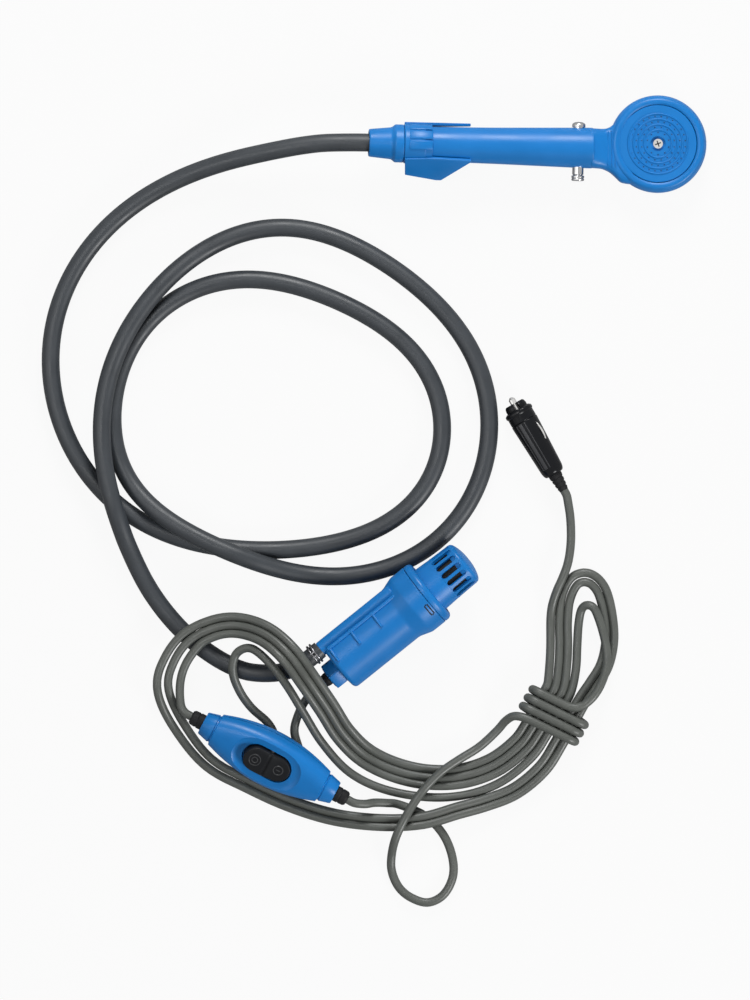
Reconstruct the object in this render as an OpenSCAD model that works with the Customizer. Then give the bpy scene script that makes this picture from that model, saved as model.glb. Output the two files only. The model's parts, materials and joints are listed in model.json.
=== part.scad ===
// Camp shower set for 12 V: submersible pump, shower head with push valve, hose, cord switch and car plug.
// Millimetres, +Z up. The set lies on a flat surface at z = 0, spray face up.
// The origin is on that surface, under the middle of the box round the pump and the shower head.

/* [Pump] */
// Where the pump's axis stands over the surface, along X
pump_x = -102; // [-104:0.5:-100]
// Where the pump's axis stands over the surface, along Y
pump_y = -184; // [-186:0.5:-182]
// Heading of the pump's inlet end in plan
pump_heading = 38.8; // [37:0.1:40]
// Outer diameter of the barrel
barrel_d = 44.5; // [42:0.5:48]
// Length of the barrel behind the collar
barrel_len = 63; // [60:0.5:70]
// Wall of the rear end of the barrel
rear_wall = 4.5; // [3:0.5:6]
// Outer diameter of the collar round the impeller
collar_d = 51; // [49:0.5:54]
// Length of the collar on the housing
collar_len = 21; // [20:0.5:26]
// Outer diameter of the strainer cage
cage_d = 36.8; // [34:0.2:38]
// Length of the strainer cage
cage_len = 33.5; // [28:0.5:40]
// Wall of the strainer cage
cage_wall = 2.3; // [1.6:0.1:3]
// Number of slots round the cage
slot_count = 16; // [10:1:18]
// Width of one slot
slot_w = 4; // [2:0.1:4.4]
// Length of a slot along the cage's side
slot_len = 17; // [12:0.5:20]
// Length of the cap's flange
flange_len = 6; // [4:0.5:8]
// Radius of the discharge rail on the barrel's flank
rail_r = 5.6; // [5.4:0.1:6.5]
// Distance of the rail's axis from the pump's axis
rail_reach = 20.5; // [20.5:0.1:21]
// Height of the rail round the flank, as an angle
rail_angle = 35; // [20:1:38]
// Bore of the discharge rail and barb
rail_bore_r = 2.2; // [1.8:0.1:2.2]
// Length of the outlet barb
barb_len = 18; // [14:0.5:22]
// Across flats of the cable gland nut
gland_af = 20.6; // [19:0.2:24]
// Length of the gland nut
gland_len = 10; // [8:0.5:14]

/* [Motor] */
// Outer diameter of the motor can
can_d = 34.6; // [33.6:0.2:34.6]
// Wall of the motor can
can_wall = 1.2; // [0.8:0.1:2]
// Length of the motor can
can_len = 47; // [40:0.5:48]
// Diameter of the motor shaft
shaft_d = 3.2; // [3:0.1:4]
// Diameter of the armature
armature_d = 25; // [22:0.2:26]
// Diameter of the commutator
commutator_d = 10; // [8:0.5:12]
// Diameter of the impeller
impeller_d = 33; // [28:0.5:36]
// Number of impeller vanes
vane_count = 6; // [4:1:8]
// Height of the impeller vanes
vane_h = 5; // [3:0.5:6]

/* [Shower head] */
// Middle of the head, along X
head_x = 114; // [113:0.5:116]
// Middle of the head, along Y
head_y = 186; // [185:0.5:187]
// Outer diameter of the head
head_d = 73; // [70:0.5:78]
// Height of the head's rim over the surface
head_h = 23.5; // [22:0.5:26]
// Diameter of the spray plate
plate_d = 57.8; // [54:0.2:59]
// Thickness of the spray plate
plate_t = 3; // [2.5:0.1:3.5]
// Diameter of one spray hole
hole_d = 1.1; // [0.8:0.1:1.6]
// Where the handle meets the head's neck, along X
neck_x = 64; // [63:0.5:65]
// Where the handle meets the head's neck, along Y
neck_y = 183; // [182:0.5:184]
// Fall of the handle towards the head
handle_slope = 4; // [3.5:0.1:4.5]
// Heading of the handle in plan
handle_heading = -1.2; // [-2:0.1:0]
// Diameter of the handle at the neck
handle_d_neck = 30.4; // [29:0.2:32]
// Diameter of the handle at the bracket
handle_d_tail = 26.2; // [25.8:0.2:28]
// Length of the handle from the neck to the bracket
grip_len = 119.5; // [100:0.5:140]
// Diameter of the bracket's seat on the handle
seat_d = 25.2; // [24:0.2:25.4]
// Length of the bracket's collar
bracket_len = 21; // [18:0.5:26]
// Outer diameter of the bracket's collar
bracket_d = 29.4; // [29:0.2:32]
// Thickness of the bracket's legs
leg_t = 2.2; // [1.8:0.1:3]
// Depth of the bracket's legs
leg_depth = 22; // [18:0.5:23]
// Length of the bracket's legs past the collar
leg_reach = 29; // [20:0.5:34]
// Spread of each leg from the bracket's middle plane
leg_spread = 21; // [10:1:25]
// Roll of the bracket round the handle as it lies
bracket_roll = 21; // [0:1:21]
// Diameter of the push valve's stem
valve_d = 8.4; // [7:0.1:9]
// Distance of the valve from the neck
valve_back = 9.4; // [9:0.2:14]
// Travel of the push valve
valve_travel = 5.2; // [3:0.1:6]
// Length of the hose nut
nut_len = 26; // [24:0.5:30]
// Diameter of the hose nut at its skirt
nut_d = 28; // [26:0.5:30]
// Diameter of the hose nut at its mouth
nut_mouth_d = 20.6; // [19.6:0.2:22]

/* [Hose and cable] */
// Outer diameter of the hose
hose_d = 13.5; // [12.5:0.1:13.6]
// Bore of the hose
hose_bore = 9.5; // [9.2:0.1:10]
// Diameter of the power cable
cable_d = 5.8; // [5:0.1:5.8]
// Turns of cable wrapped round the hank
wrap_turns = 3.2; // [2.2:1:3.2]

/* [Cord switch] */
// Middle of the switch, along X
switch_x = -176.5; // [-180:0.5:-172]
// Middle of the switch, along Y
switch_y = -273; // [-278:0.5:-268]
// Height of the switch's axis, lifted by the cable under it
switch_z = 21.1; // [21:0.1:24]
// Heading of the switch in plan
switch_heading = -28; // [-30:1:-26]
// Roll of the switch as it lies
switch_roll = 23; // [10:1:30]
// Length of the shells
switch_len = 112; // [108:1:120]
// Width of the shells
switch_w = 41; // [38:0.5:44]
// Height of the shells
switch_h = 28; // [27:0.5:32]
// Wall of the shells
switch_wall = 2.2; // [1.8:0.1:2.6]
// Diameter of the necks where they meet the body
neck_d = 23; // [21:0.5:23]
// Diameter of the necks at their ends
neck_end_d = 17.4; // [16.6:0.2:19]
// Length of the rocker
rocker_len = 39; // [37:0.5:40]
// Width of the rocker
rocker_w = 22; // [20:0.5:22]
// Swing of the rocker from one side to the other
rocker_swing = 14; // [10:1:16]

/* [Car plug] */
// Front end of the plug's nose, along X
plug_x = 6.5; // [5:0.5:8]
// Front end of the plug's nose, along Y
plug_y = -8; // [-10:0.5:-6]
// Heading of the plug from its nose to its cable
plug_heading = -60; // [-62:0.5:-58]
// Diameter of the plug's body at its front
plug_d = 21; // [20.6:0.1:21]
// Diameter of the plug's body at its back
plug_d_back = 17.2; // [16.6:0.2:20]
// Length of the plug's nose cap
nose_len = 15; // [12:0.5:18]
// Length of the plug's body behind the nose
plug_len = 46; // [44:0.5:52]
// Wall of the plug's body
plug_wall = 2; // [1.6:0.1:2.4]
// Diameter of the plug's tip
tip_d = 5; // [4.6:0.2:6]
// Travel of the plug's tip
tip_travel = 2.5; // [1:0.1:3]
// Width of a side contact
contact_w = 4.6; // [3.6:0.2:5.4]
// Travel of a side contact
contact_travel = 1.2; // [0.6:0.1:1.3]
// Roll of the plug as it lies
plug_roll = 42; // [36:1:48]

/* [Hidden] */
$fn = 64;

// Clearances: a running fit, a drop-in fit and the gap between soft and hard
run_gap = 0.05;
drop_gap = 0.1;
soft_gap = 0.3;

// Pump, measured along its axis from the reference point
barrel_r = barrel_d / 2;
collar_r = collar_d / 2;
barrel_back = -31;
barrel_front = barrel_back + barrel_len;
collar_front = barrel_front + collar_len;
cap_gap = 0.2;
flange_back = collar_front + cap_gap;
flange_front = flange_back + flange_len;
cage_front = flange_front + cage_len;
cage_r = cage_d / 2;
cage_taper = 1.1;
cage_nose = 3.5;
cage_hollow_r = cage_r - cage_taper - cage_wall;
slot_front = cage_front - cage_nose;
slot_back = slot_front - slot_len;
slot_turn = 5.2;
screen_t = 1.2;
pump_pitch = atan((collar_r - barrel_r) / barrel_len);
pump_z = barrel_r * cos(pump_pitch) - barrel_back * sin(pump_pitch);
motor_bore_r = can_d / 2 + drop_gap;
motor_back = barrel_back + rear_wall;
end_cap_t = 3;
can_back = motor_back + end_cap_t;
can_front = can_back + can_len;
seal_plate_r = 20.9;
seal_plate_t = 3.4;
seal_plate_back = can_front + drop_gap;
volute_back = seal_plate_back + seal_plate_t;
cap_seat_r = 23;
cap_seat_len = 4;
cap_seal_t = 1.2;
cap_seat_back = collar_front - cap_seat_len - cap_seal_t;
spigot_back = cap_seat_back + cap_seal_t;
shaft_r = shaft_d / 2;
impeller_t = 2;
impeller_gap = 1;
impeller_back = spigot_back - impeller_gap - impeller_t - vane_h;
shaft_back = motor_back + 0.5;
shaft_front = impeller_back + impeller_t + vane_h;
rail_y = rail_reach * cos(rail_angle);
rail_z = rail_reach * sin(rail_angle);
rail_out = 1.5;
rail_end = barrel_back - rail_out;
barb_r = 4.4;
barb_end = rail_end - barb_len;
gland_y = -4;
gland_z = -4;
gland_boss_r = 8;
gland_boss_len = 6;
gland_gap = 0.2;
gland_back = barrel_back - gland_gap - gland_len;
grommet_r = 5.2;
grommet_len = 6;
grommet_end = gland_back - grommet_len;

// Shower head, the handle measured along its axis from the neck
head_r = head_d / 2;
neck_z = handle_d_neck / 2 + 0.3;
handle_r_neck = handle_d_neck / 2;
handle_r_tail = handle_d_tail / 2;
seat_r = seat_d / 2;
seat_front = -grip_len;
seat_back = seat_front - bracket_len - drop_gap;
nut_front = seat_back - drop_gap;
nut_back = nut_front - nut_len;
spigot_r = 9.4;
spigot_end = seat_back - 10;
washer_t = 1.5;
tail_flange_t = 1.6;
tail_flange_r = 8.4;
tail_flange_end = spigot_end - washer_t - tail_flange_t;
hose_start = tail_flange_end;
tail_end = tail_flange_end - barb_len;
water_r = 4;
plate_seat_r = plate_d / 2 + soft_gap;
gasket_t = 0.8;
plate_top = head_h - 0.8;
plate_bottom = plate_top - plate_t;
plate_seat_z = plate_bottom - gasket_t;
chamber_r = plate_d / 2 - 2;
head_floor = 4;
neck_fillet_r = 30;
screw_r = 1.6;
screw_head_r = 4.4;
screw_pocket_r = 5.6;
screw_pocket_depth = 1.6;
valve_r = valve_d / 2;
handle_r_valve = handle_r_neck - (handle_r_neck - handle_r_tail) * valve_back / grip_len;

// Cord switch
switch_half = switch_len / 2;
neck_r = neck_d / 2;
neck_end_r = neck_end_d / 2;
relief_r = 6;
relief_len = 10;
relief_end = switch_half + relief_len;
rocker_r = rocker_w / 2;
rocker_gap = 1.2;
rocker_top = 2;
rocker_axle_z = switch_h / 2 - 5;
axle_r = 1.5;
axle_len = rocker_w + 5;
rim_h = -0.4;
rim_w = 5.8;
rim_depth = 6.5;

// Car plug
plug_r = plug_d / 2;
plug_back_r = plug_d_back / 2;
plug_z = plug_r + 0.1;
nose_gap = 0.2;
shell_front = nose_len + nose_gap;
shell_back = nose_len + plug_len;
plug_bore_r = plug_r - plug_wall;
tip_r = tip_d / 2;
plug_relief_len = 14;
plug_relief_r = 5;
plug_lead_start = shell_back + plug_relief_len;
contact_front = nose_len + 5.4;
contact_len = 14.2;
contact_t = 0.8;
contact_proud = 0.9;

// Cable
cable_r = cable_d / 2;
hank_sides = 6;
tube_sides = 8;
hose_sides = 10;

// Points of a part's own frame, set into the frame of the set
function turn_z(p, a) = [p.x * cos(a) - p.y * sin(a), p.x * sin(a) + p.y * cos(a), p.z];
function turn_y(p, a) = [p.x * cos(a) + p.z * sin(a), p.y, -p.x * sin(a) + p.z * cos(a)];
function turn_x(p, a) = [p.x, p.y * cos(a) - p.z * sin(a), p.y * sin(a) + p.z * cos(a)];
function pump_point(p) = [pump_x, pump_y, pump_z] + turn_z(turn_y(p, -pump_pitch), pump_heading);
function handle_point(p) = [neck_x, neck_y, neck_z] + turn_z(turn_y(p, handle_slope), handle_heading);
function switch_point(p) = [switch_x, switch_y, switch_z] + turn_z(turn_x(p, switch_roll), switch_heading);
function plug_point(p) = [plug_x, plug_y, plug_z] + turn_z(turn_x(p, plug_roll), plug_heading);

// Hank: one loop's course as [x, y, z, step to the next loop], the loops lying side by side outwards
hank_course = [
    [-243.5, -221, 16.5, 8.4], [-241.5, -206, 17, 7.6], [-232, -191, 19, 6.8], [-215, -182, 20, 6.3],
    [-199, -181, 24, 6.3], [-182, -187, 34, 6.3], [-167, -200, 43.5, 6.3], [-154, -218, 42, 6.3],
    [-140, -239, 29.5, 6.3], [-127, -260, 15, 6.3], [-109, -278, 5, 6.3], [-85, -290, 3.2, 6.3],
    [-58, -296, 3.2, 6.3], [-30, -295, 3.2, 6.3], [-4, -286, 4, 6.3], [17, -270, 7.5, 6.3],
    [28, -255, 9.8, 6.3], [37, -239, 10, 6.3], [46, -223, 9.8, 6.3], [49, -205, 7, 6.3],
    [50, -188, 4.5, 6.3], [50, -172, 3.2, 6.3], [52, -156, 3.2, 6.6], [58, -145.5, 3.2, 7],
    [65.5, -150, 3.2, 6.6], [70, -165, 3.2, 6.4], [71.5, -184, 3.2, 6.4], [68, -201, 5, 6.4],
    [60, -214, 8, 6.4], [51, -227, 9.8, 6.4], [42, -243, 10, 6.4], [33, -259, 9.8, 6.4],
    [22, -276, 7.5, 6.4], [4, -291, 4.5, 6.4], [-16, -299, 5, 6.4], [-38, -305, 7.5, 6.4],
    [-64, -312, 9.8, 6.4], [-94, -313, 9.6, 6.4], [-127, -309, 6, 6.4], [-159, -299, 3.6, 6.4],
    [-189, -285, 3.2, 6.5], [-216, -269, 3.2, 7], [-234.5, -243, 6, 8]
];
hank_loops = 2.48;
hank_rings_per_span = 2;
hank_count = len(hank_course);

// The wraps: flat turns round the hank's waist
wrap_middle = [37.6, -239.4, 10];
wrap_across = unit([0.866, -0.5, 0]);
wrap_along = unit([-0.5, -0.866, 0]);
wrap_flat = 17;
wrap_half_h = 7;
wrap_pitch = 7.2;
wrap_first = -9;
wrap_rings = 24;
wrap_round = 4 * wrap_flat + 2 * PI * wrap_half_h;
wrap_lead_in = wrap_flat - 10;

// Hose route from the shower head to the pump, by the loops as they lie
hose_route = concat(
    [handle_point([hose_start, 0, 0]), handle_point([tail_end - 2, 0, 0])],
    [
        [-140, 186, 26], [-172, 181, 22], [-205, 174, 16], [-238, 162, 10], [-270, 146, 7], [-300, 121, 7],
        [-325, 86, 7], [-338, 48, 7], [-339, 10, 7], [-330, -28, 7], [-311, -61, 7], [-286, -87, 7],
        [-255, -104, 7], [-221, -114, 7], [-184, -117, 7], [-146, -115, 7], [-109, -106, 7], [-75, -88, 7],
        [-54, -58, 7], [-48, -24, 7], [-56, 10, 7], [-79, 40, 7], [-112, 61, 7], [-150, 77, 7],
        [-187, 85, 7], [-225, 79, 7], [-256, 63, 7], [-279, 36, 7], [-290, 4, 7], [-293, -28, 7],
        [-286, -58, 8], [-270, -80, 13], [-249, -96, 19], [-224, -110, 21.5], [-197, -122, 21.5], [-167, -132, 13],
        [-135, -137, 7], [-101, -134, 7], [-69, -122, 7], [-41, -100, 7], [-21, -68, 7], [-13, -31, 7],
        [-16, 6, 7], [-31, 40, 7], [-56, 70, 7], [-88, 95, 7], [-124, 114, 7], [-161, 124, 7],
        [-199, 118, 7], [-232, 102, 9], [-259, 77, 16], [-281, 47, 21.5], [-296, 13, 21.5], [-301, -24, 21.5],
        [-299, -58, 21.5], [-292, -88, 21.5], [-281, -118, 13], [-266, -148, 7.5], [-246, -174, 7], [-223, -194, 7],
        [-199, -207, 9], [-178, -210, 15]
    ],
    [pump_point([barb_end - 4, rail_y, rail_z]), pump_point([rail_end, rail_y, rail_z])]
);

// Pump lead: out of the gland, under the switch, along the inside of the hank and up to its knot
lead_route = concat(
    [for (s = [0, 3, 6]) pump_point([grommet_end - s, gland_y, gland_z])],
    [
        [-144, -224, 14], [-150, -231, 10], [-155, -241, 5.5], [-158, -253, 3.2], [-155, -265, 3], [-151, -276, 3],
        [-154, -287, 3], [-164, -292, 3], [-174, -288, 3], [-178, -278, 3], [-175, -267, 3], [-173, -257, 3],
        [-178, -247, 3.4], [-190, -236, 5.5], [-199, -223, 11], [-204, -208, 19], [-201, -195, 22],
        [-190, -191, 27], [-176, -202, 34], [-163, -219, 35], [-151, -239, 26], [-137, -262, 14], [-117, -284, 5],
        [-91, -297, 3.2], [-58, -303, 3.2], [-28, -301, 3.2], [-2, -291, 4], [20, -273, 7.5], [31, -257, 9.8],
        [40, -241, 10], [49, -225, 9.8], [53, -207, 7], [54, -190, 4.5], [55, -174, 3.6], [57, -163, 5.5],
        [61.5, -157, 9.5], [67, -162, 10.6], [72, -175, 10.6], [75.5, -190, 10.8], [76, -204, 12.4], [72, -217, 15.4],
        [66, -227, 17.4], [58, -234, 17.3]
    ],
    [wrap_point(0)]
);

// Cable from the wraps over the hank, round its drop loop and under the hank to the switch
drop_route = concat(
    [wrap_point(wrap_turns)],
    [
        [13, -242, 16.5], [6, -242, 13], [0, -246, 8.5], [-6, -253, 5], [-19, -265, 4.5], [-35, -275, 8],
        [-48, -284, 10], [-60, -296, 10], [-69, -308, 14], [-76, -320, 17], [-82, -333, 15], [-85, -346, 7],
        [-85, -358, 3.6], [-80, -370, 3.2], [-71, -378, 3.2], [-58, -382, 3.2], [-46, -376, 3.2], [-39, -362, 3.2],
        [-40, -346, 3.2], [-47, -330, 3.2], [-60, -317, 3.2], [-79, -308.6, 4.6], [-89, -307.2, 8],
        [-98, -306.8, 13], [-105, -307.6, 18]
    ],
    [for (s = [6, 3, 0]) switch_point([relief_end + s, 0, 0])]
);

tail_route = concat(
    [for (s = [0, 2, 4]) switch_point([-relief_end - s, 0, 0])],
    [[-241.6, -236.4, 20.8], [-243.4, -229.5, 18.8]],
    [hank_point(0)]
);

plug_lead_route = concat(
    [hank_point(hank_loops)],
    [
        [34, -166, 3.4], [36, -157, 5.6], [39.5, -148, 8.4], [43.2, -139, 9.6], [46.2, -130, 9.6], [48.2, -121, 9.2],
        [49.2, -111, 8.8], [49.2, -101, 8.8], [48.6, -92, 9.4], [47.4, -84, 10.1]
    ],
    [for (s = [4, 2, 0]) plug_point([plug_lead_start + s, 0, 0])]
);

// A smooth curve through points, two steps to a span
function curve_at(a, b, c, d, t) =
    0.5 * (2 * b + (c - a) * t + (2 * a - 5 * b + 4 * c - d) * t * t + (3 * b - a - 3 * c + d) * t * t * t);
function smooth(pts, steps) = let (n = len(pts)) [
    for (i = [0 : n - 2])
        for (j = [0 : steps - 1])
            curve_at(pts[max(i - 1, 0)], pts[i], pts[i + 1], pts[min(i + 2, n - 1)], j / steps),
    pts[n - 1]
];
function unit(v) = v / norm(v);
function headings(pts) = let (n = len(pts)) [
    for (i = [0 : n - 1]) unit(pts[min(i + 1, n - 1)] - pts[max(i - 1, 0)])
];

// Frames carried along a path without twist
function carried(u, t) = unit(u - t * (u * t));
function sides_of(dirs) = [
    for (i = 0, u = carried(cross(dirs[0], [0, 0, 1]), dirs[0]);
         i < len(dirs);
         i = i + 1, u = i < len(dirs) ? carried(u, dirs[i]) : u) u
];
function rings(pts, r, n) = let (dirs = headings(pts), us = sides_of(dirs)) [
    for (i = [0 : len(pts) - 1])
        let (v = cross(dirs[i], us[i]))
            for (k = [0 : n - 1]) pts[i] + r * (cos(360 * k / n) * us[i] + sin(360 * k / n) * v)
];
function wall_faces(count, n, from, flip) = [
    for (i = [0 : count - 2])
        for (k = [0 : n - 1])
            let (a = from + i * n + k, b = from + i * n + (k + 1) % n, c = a + n, d = b + n)
                each flip ? [[a, b, c], [b, d, c]] : [[a, c, b], [b, c, d]]
];
function cap_faces(first, n, flip) = [
    for (k = [1 : n - 2]) flip ? [first, first + k + 1, first + k] : [first, first + k, first + k + 1]
];
function ring_faces(outer, inner, n, flip) = [
    for (k = [0 : n - 1])
        let (a = outer + k, b = outer + (k + 1) % n, c = inner + k, d = inner + (k + 1) % n)
            each flip ? [[a, c, b], [b, c, d]] : [[a, b, c], [b, d, c]]
];

module cord(pts, r, n) {
    count = len(pts);
    polyhedron(
        rings(pts, r, n),
        concat(
            wall_faces(count, n, 0, false),
            cap_faces(0, n, false),
            cap_faces((count - 1) * n, n, true)
        )
    );
}

module hollow_cord(pts, r, bore, n) {
    count = len(pts);
    inner = count * n;
    last = (count - 1) * n;
    polyhedron(
        concat(rings(pts, r, n), rings(pts, bore, n)),
        concat(
            wall_faces(count, n, 0, false),
            wall_faces(count, n, inner, true),
            ring_faces(0, inner, n, false),
            ring_faces(last, inner + last, n, true)
        )
    );
}

// The hank: a point after u loops, stepped outwards from the course
function hank_wrapped(i) = hank_course[(i + hank_count) % hank_count];
function hank_course_at(u) = let (f = (u - floor(u)) * hank_count, i = floor(f))
    curve_at(hank_wrapped(i - 1), hank_wrapped(i), hank_wrapped(i + 1), hank_wrapped(i + 2), f - i);
function hank_outward(u) = let (d = hank_course_at(u + 0.002) - hank_course_at(u - 0.002))
    unit([-d.y, d.x, 0]);
function hank_point(u) = let (c = hank_course_at(u)) [c.x, c.y, c.z] + hank_outward(u) * c[3] * u;
hank_steps = floor(hank_loops * hank_count * hank_rings_per_span);
hank_path = [for (i = [0 : hank_steps]) hank_point(hank_loops * i / hank_steps)];

function wrap_section(s) =
    s < 2 * wrap_flat ? [wrap_flat - s, wrap_half_h] :
    s < 2 * wrap_flat + PI * wrap_half_h ?
        let (a = (s - 2 * wrap_flat) / wrap_half_h * 180 / PI)
            [-wrap_flat - wrap_half_h * sin(a), wrap_half_h * cos(a)] :
    s < 4 * wrap_flat + PI * wrap_half_h ? [s - 3 * wrap_flat - PI * wrap_half_h, -wrap_half_h] :
        let (a = (s - 4 * wrap_flat - PI * wrap_half_h) / wrap_half_h * 180 / PI)
            [wrap_flat + wrap_half_h * sin(a), -wrap_half_h * cos(a)];
function wrap_point(u) =
    let (s = u * wrap_round + wrap_lead_in, f = s - floor(s / wrap_round) * wrap_round, p = wrap_section(f))
        wrap_middle + wrap_across * p[0] + [0, 0, p[1]] + wrap_along * (wrap_first + wrap_pitch * u);
wrap_steps = ceil(wrap_turns * wrap_rings);
wrap_path = [for (i = [0 : wrap_steps]) wrap_point(wrap_turns * i / wrap_steps)];

// Least gap of a wound tube to itself, past the rings that are its own neighbours
function least_gap(pts, skip, d) = min([
    for (i = [0 : len(pts) - 1 - skip])
        for (j = [i + skip : len(pts) - 1]) norm(pts[i] - pts[j])
]) - d;
echo(hank_gap = least_gap(hank_path, 6, cable_d));
echo(wrap_gap = least_gap(wrap_path, 8, cable_d));

function path_length(pts) = sum_of([for (i = [1 : len(pts) - 1]) norm(pts[i] - pts[i - 1])]);
function sum_of(v) = v * [for (x = v) 1];

lead_path = smooth(lead_route, 2);
drop_path = smooth(drop_route, 2);
tail_path = smooth(tail_route, 3);
plug_lead_path = smooth(plug_lead_route, 2);
echo(hose_length = path_length(smooth(hose_route, 4)));
echo(cable_length = path_length(lead_path) + path_length(wrap_path) + path_length(drop_path)
    + path_length(tail_path) + path_length(hank_path) + path_length(plug_lead_path));

blue = "#2a7cc8";
black = "#202225";
steel = "#b9bcc0";
hose_grey = "#585a5e";
cable_grey = "#686b66";

// Places of the four housings
module at_pump() translate([pump_x, pump_y, pump_z]) rotate([0, -pump_pitch, pump_heading]) children();
module at_handle() translate([neck_x, neck_y, neck_z]) rotate([0, handle_slope, handle_heading]) children();
module at_head() translate([head_x, head_y, 0]) children();
module at_switch()
    translate([switch_x, switch_y, switch_z]) rotate([0, 0, switch_heading]) rotate([switch_roll, 0, 0])
        children();
module at_plug()
    translate([plug_x, plug_y, plug_z]) rotate([0, 0, plug_heading]) rotate([plug_roll, 0, 0]) children();

// Bodies turned about X: a bar, a ring and a profile of [radius, place along X]
module bar(r, from, to) translate([from, 0, 0]) rotate([0, 90, 0]) cylinder(r = r, h = to - from);
module ring(r, bore, from, to) difference() {
    bar(r, from, to);
    bar(bore, from - 1, to + 1);
}
module turned(profile) rotate([0, 90, 0]) rotate_extrude() polygon(profile);
module at_rail() translate([0, rail_y, rail_z]) children();
module at_gland() translate([0, gland_y, gland_z]) children();
module cross_bar(r, from, to) translate([0, from, 0]) rotate([-90, 0, 0]) cylinder(r = r, h = to - from);
module cross_ring(r, bore, from, to) difference() {
    cross_bar(r, from, to);
    cross_bar(bore, from - 1, to + 1);
}

// Pump
edge_cut = 5.5;
edge_len = 5;
collar_shoulder = 7;
shoulder_ease = 2;
ridge_r = 1.1;
ridge_angle = 54;
fin_end_angle = 84;
fin_t = 1.4;
fin_h = 1.1;
fin_step = 20.5;
fin_back = barrel_back + 4.5;
ridge_back = barrel_back + 3;
ridge_front = barrel_front + 4;

module barrel_fin(at) {
    reach = 2 * barrel_r;
    translate([at - fin_t / 2, 0, 0]) rotate([90, 0, 90]) linear_extrude(fin_t) intersection() {
        difference() {
            circle(barrel_r + fin_h);
            circle(barrel_r - fin_h);
        }
        polygon([
            [0, 0], [reach * cos(ridge_angle), reach * sin(ridge_angle)],
            [reach * cos(fin_end_angle), reach * sin(fin_end_angle)]
        ]);
    }
}

module barrel_ridge() rotate([ridge_angle - 90, 0, 0]) translate([0, 0, barrel_r + ridge_r / 2])
    bar(ridge_r, ridge_back, ridge_front);

module snap_slit() {
    slit = 0.8;
    finger_w = 10;
    finger_l = 3.4;
    from_front = 1.2;
    depth = 1.2;
    finger_turn = 26;
    rotate([finger_turn, 0, 0]) translate([collar_front - from_front - finger_l, -finger_w / 2, collar_r - depth])
        difference() {
            cube([finger_l, finger_w, 2 * depth]);
            translate([-1, slit, -1]) cube([finger_l + 1 - slit, finger_w - 2 * slit, 2 * depth + 2]);
        }
}

module pump_housing() color(blue) at_pump() difference() {
    union() {
        turned([
            [0, barrel_back], [barrel_r - edge_cut, barrel_back],
            [barrel_r - 0.27 * edge_cut, barrel_back + 0.4 * edge_len], [barrel_r, barrel_back + edge_len],
            [barrel_r, barrel_front - shoulder_ease], [collar_r - 0.5, barrel_front + collar_shoulder],
            [collar_r, barrel_front + collar_shoulder + shoulder_ease], [collar_r, collar_front], [0, collar_front]
        ]);
        at_rail() {
            bar(rail_r, rail_end, barrel_front + collar_shoulder - shoulder_ease);
            bar(barb_r, barb_end, rail_end);
        }
        at_gland() bar(gland_boss_r, barrel_back - gland_boss_len, barrel_back);
        barrel_ridge();
        for (i = [0 : 2]) barrel_fin(fin_back + i * fin_step);
    }
    bar(motor_bore_r, motor_back, seal_plate_back);
    bar(seal_plate_r + drop_gap, seal_plate_back, cap_seat_back);
    bar(cap_seat_r, cap_seat_back, collar_front + 1);
    at_rail() bar(rail_bore_r, barb_end - 1, cap_seat_back - 2);
    at_gland() bar(grommet_r - 0.6, barrel_back - gland_boss_len - 1, motor_back + 1);
    snap_slit();
}

module cage_slot() translate([0, 0, cage_hollow_r - 1.5]) {
    slot_depth = cage_wall + cage_taper + 4;
    translate([slot_back, -slot_w / 2, 0]) cube([slot_len, slot_w, slot_depth]);
    for (at = [slot_back, slot_front]) translate([at, 0, 0]) cylinder(d = slot_w, h = slot_depth);
}

module strainer_cap() color(blue) at_pump() difference() {
    tip_chamfer = 1.8;
    eye_r = 7;
    union() {
        turned([
            [0, spigot_back], [cap_seat_r - drop_gap, spigot_back], [cap_seat_r - drop_gap, flange_back],
            [collar_r, flange_back], [collar_r, flange_front - 2.5], [collar_r - 2.5, flange_front],
            [cage_r + 1.2, flange_front], [cage_r, flange_front + 1.2],
            [cage_r - cage_taper, cage_front - tip_chamfer],
            [cage_r - cage_taper - tip_chamfer, cage_front], [0, cage_front]
        ]);
    }
    bar(cage_hollow_r, spigot_back + 2, slot_front + slot_w / 2 - 0.6);
    bar(eye_r, spigot_back - 1, spigot_back + 3);
    for (i = [0 : slot_count - 1]) rotate([slot_turn + 360 * i / slot_count, 0, 0]) cage_slot();
}

module filter_sleeve() color(black) at_pump()
    ring(cage_hollow_r - drop_gap, cage_hollow_r - drop_gap - screen_t, spigot_back + 2, slot_front);

module cap_seal() color(black) at_pump() ring(cap_seat_r - drop_gap, cap_seat_r - 3, cap_seat_back, spigot_back);

module seal_plate() color(blue) at_pump() difference() {
    bar(seal_plate_r, seal_plate_back, volute_back);
    bar(5, seal_plate_back + 1, volute_back + 1);
    bar(shaft_r + soft_gap, seal_plate_back - 1, volute_back + 1);
}

module shaft_seal() color(black) at_pump() ring(5, shaft_r + run_gap, seal_plate_back + 1, volute_back);

module vane() {
    bend_r = 12;
    vane_t = 1.4;
    intersection() {
        rotate([0, 90, 0]) translate([0, bend_r, 0]) difference() {
            cylinder(r = bend_r, h = vane_h);
            translate([0, 0, -1]) cylinder(r = bend_r - vane_t, h = vane_h + 2);
        }
        translate([0, 0, -impeller_d / 2]) cube([vane_h, bend_r, impeller_d / 2]);
    }
}

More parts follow.
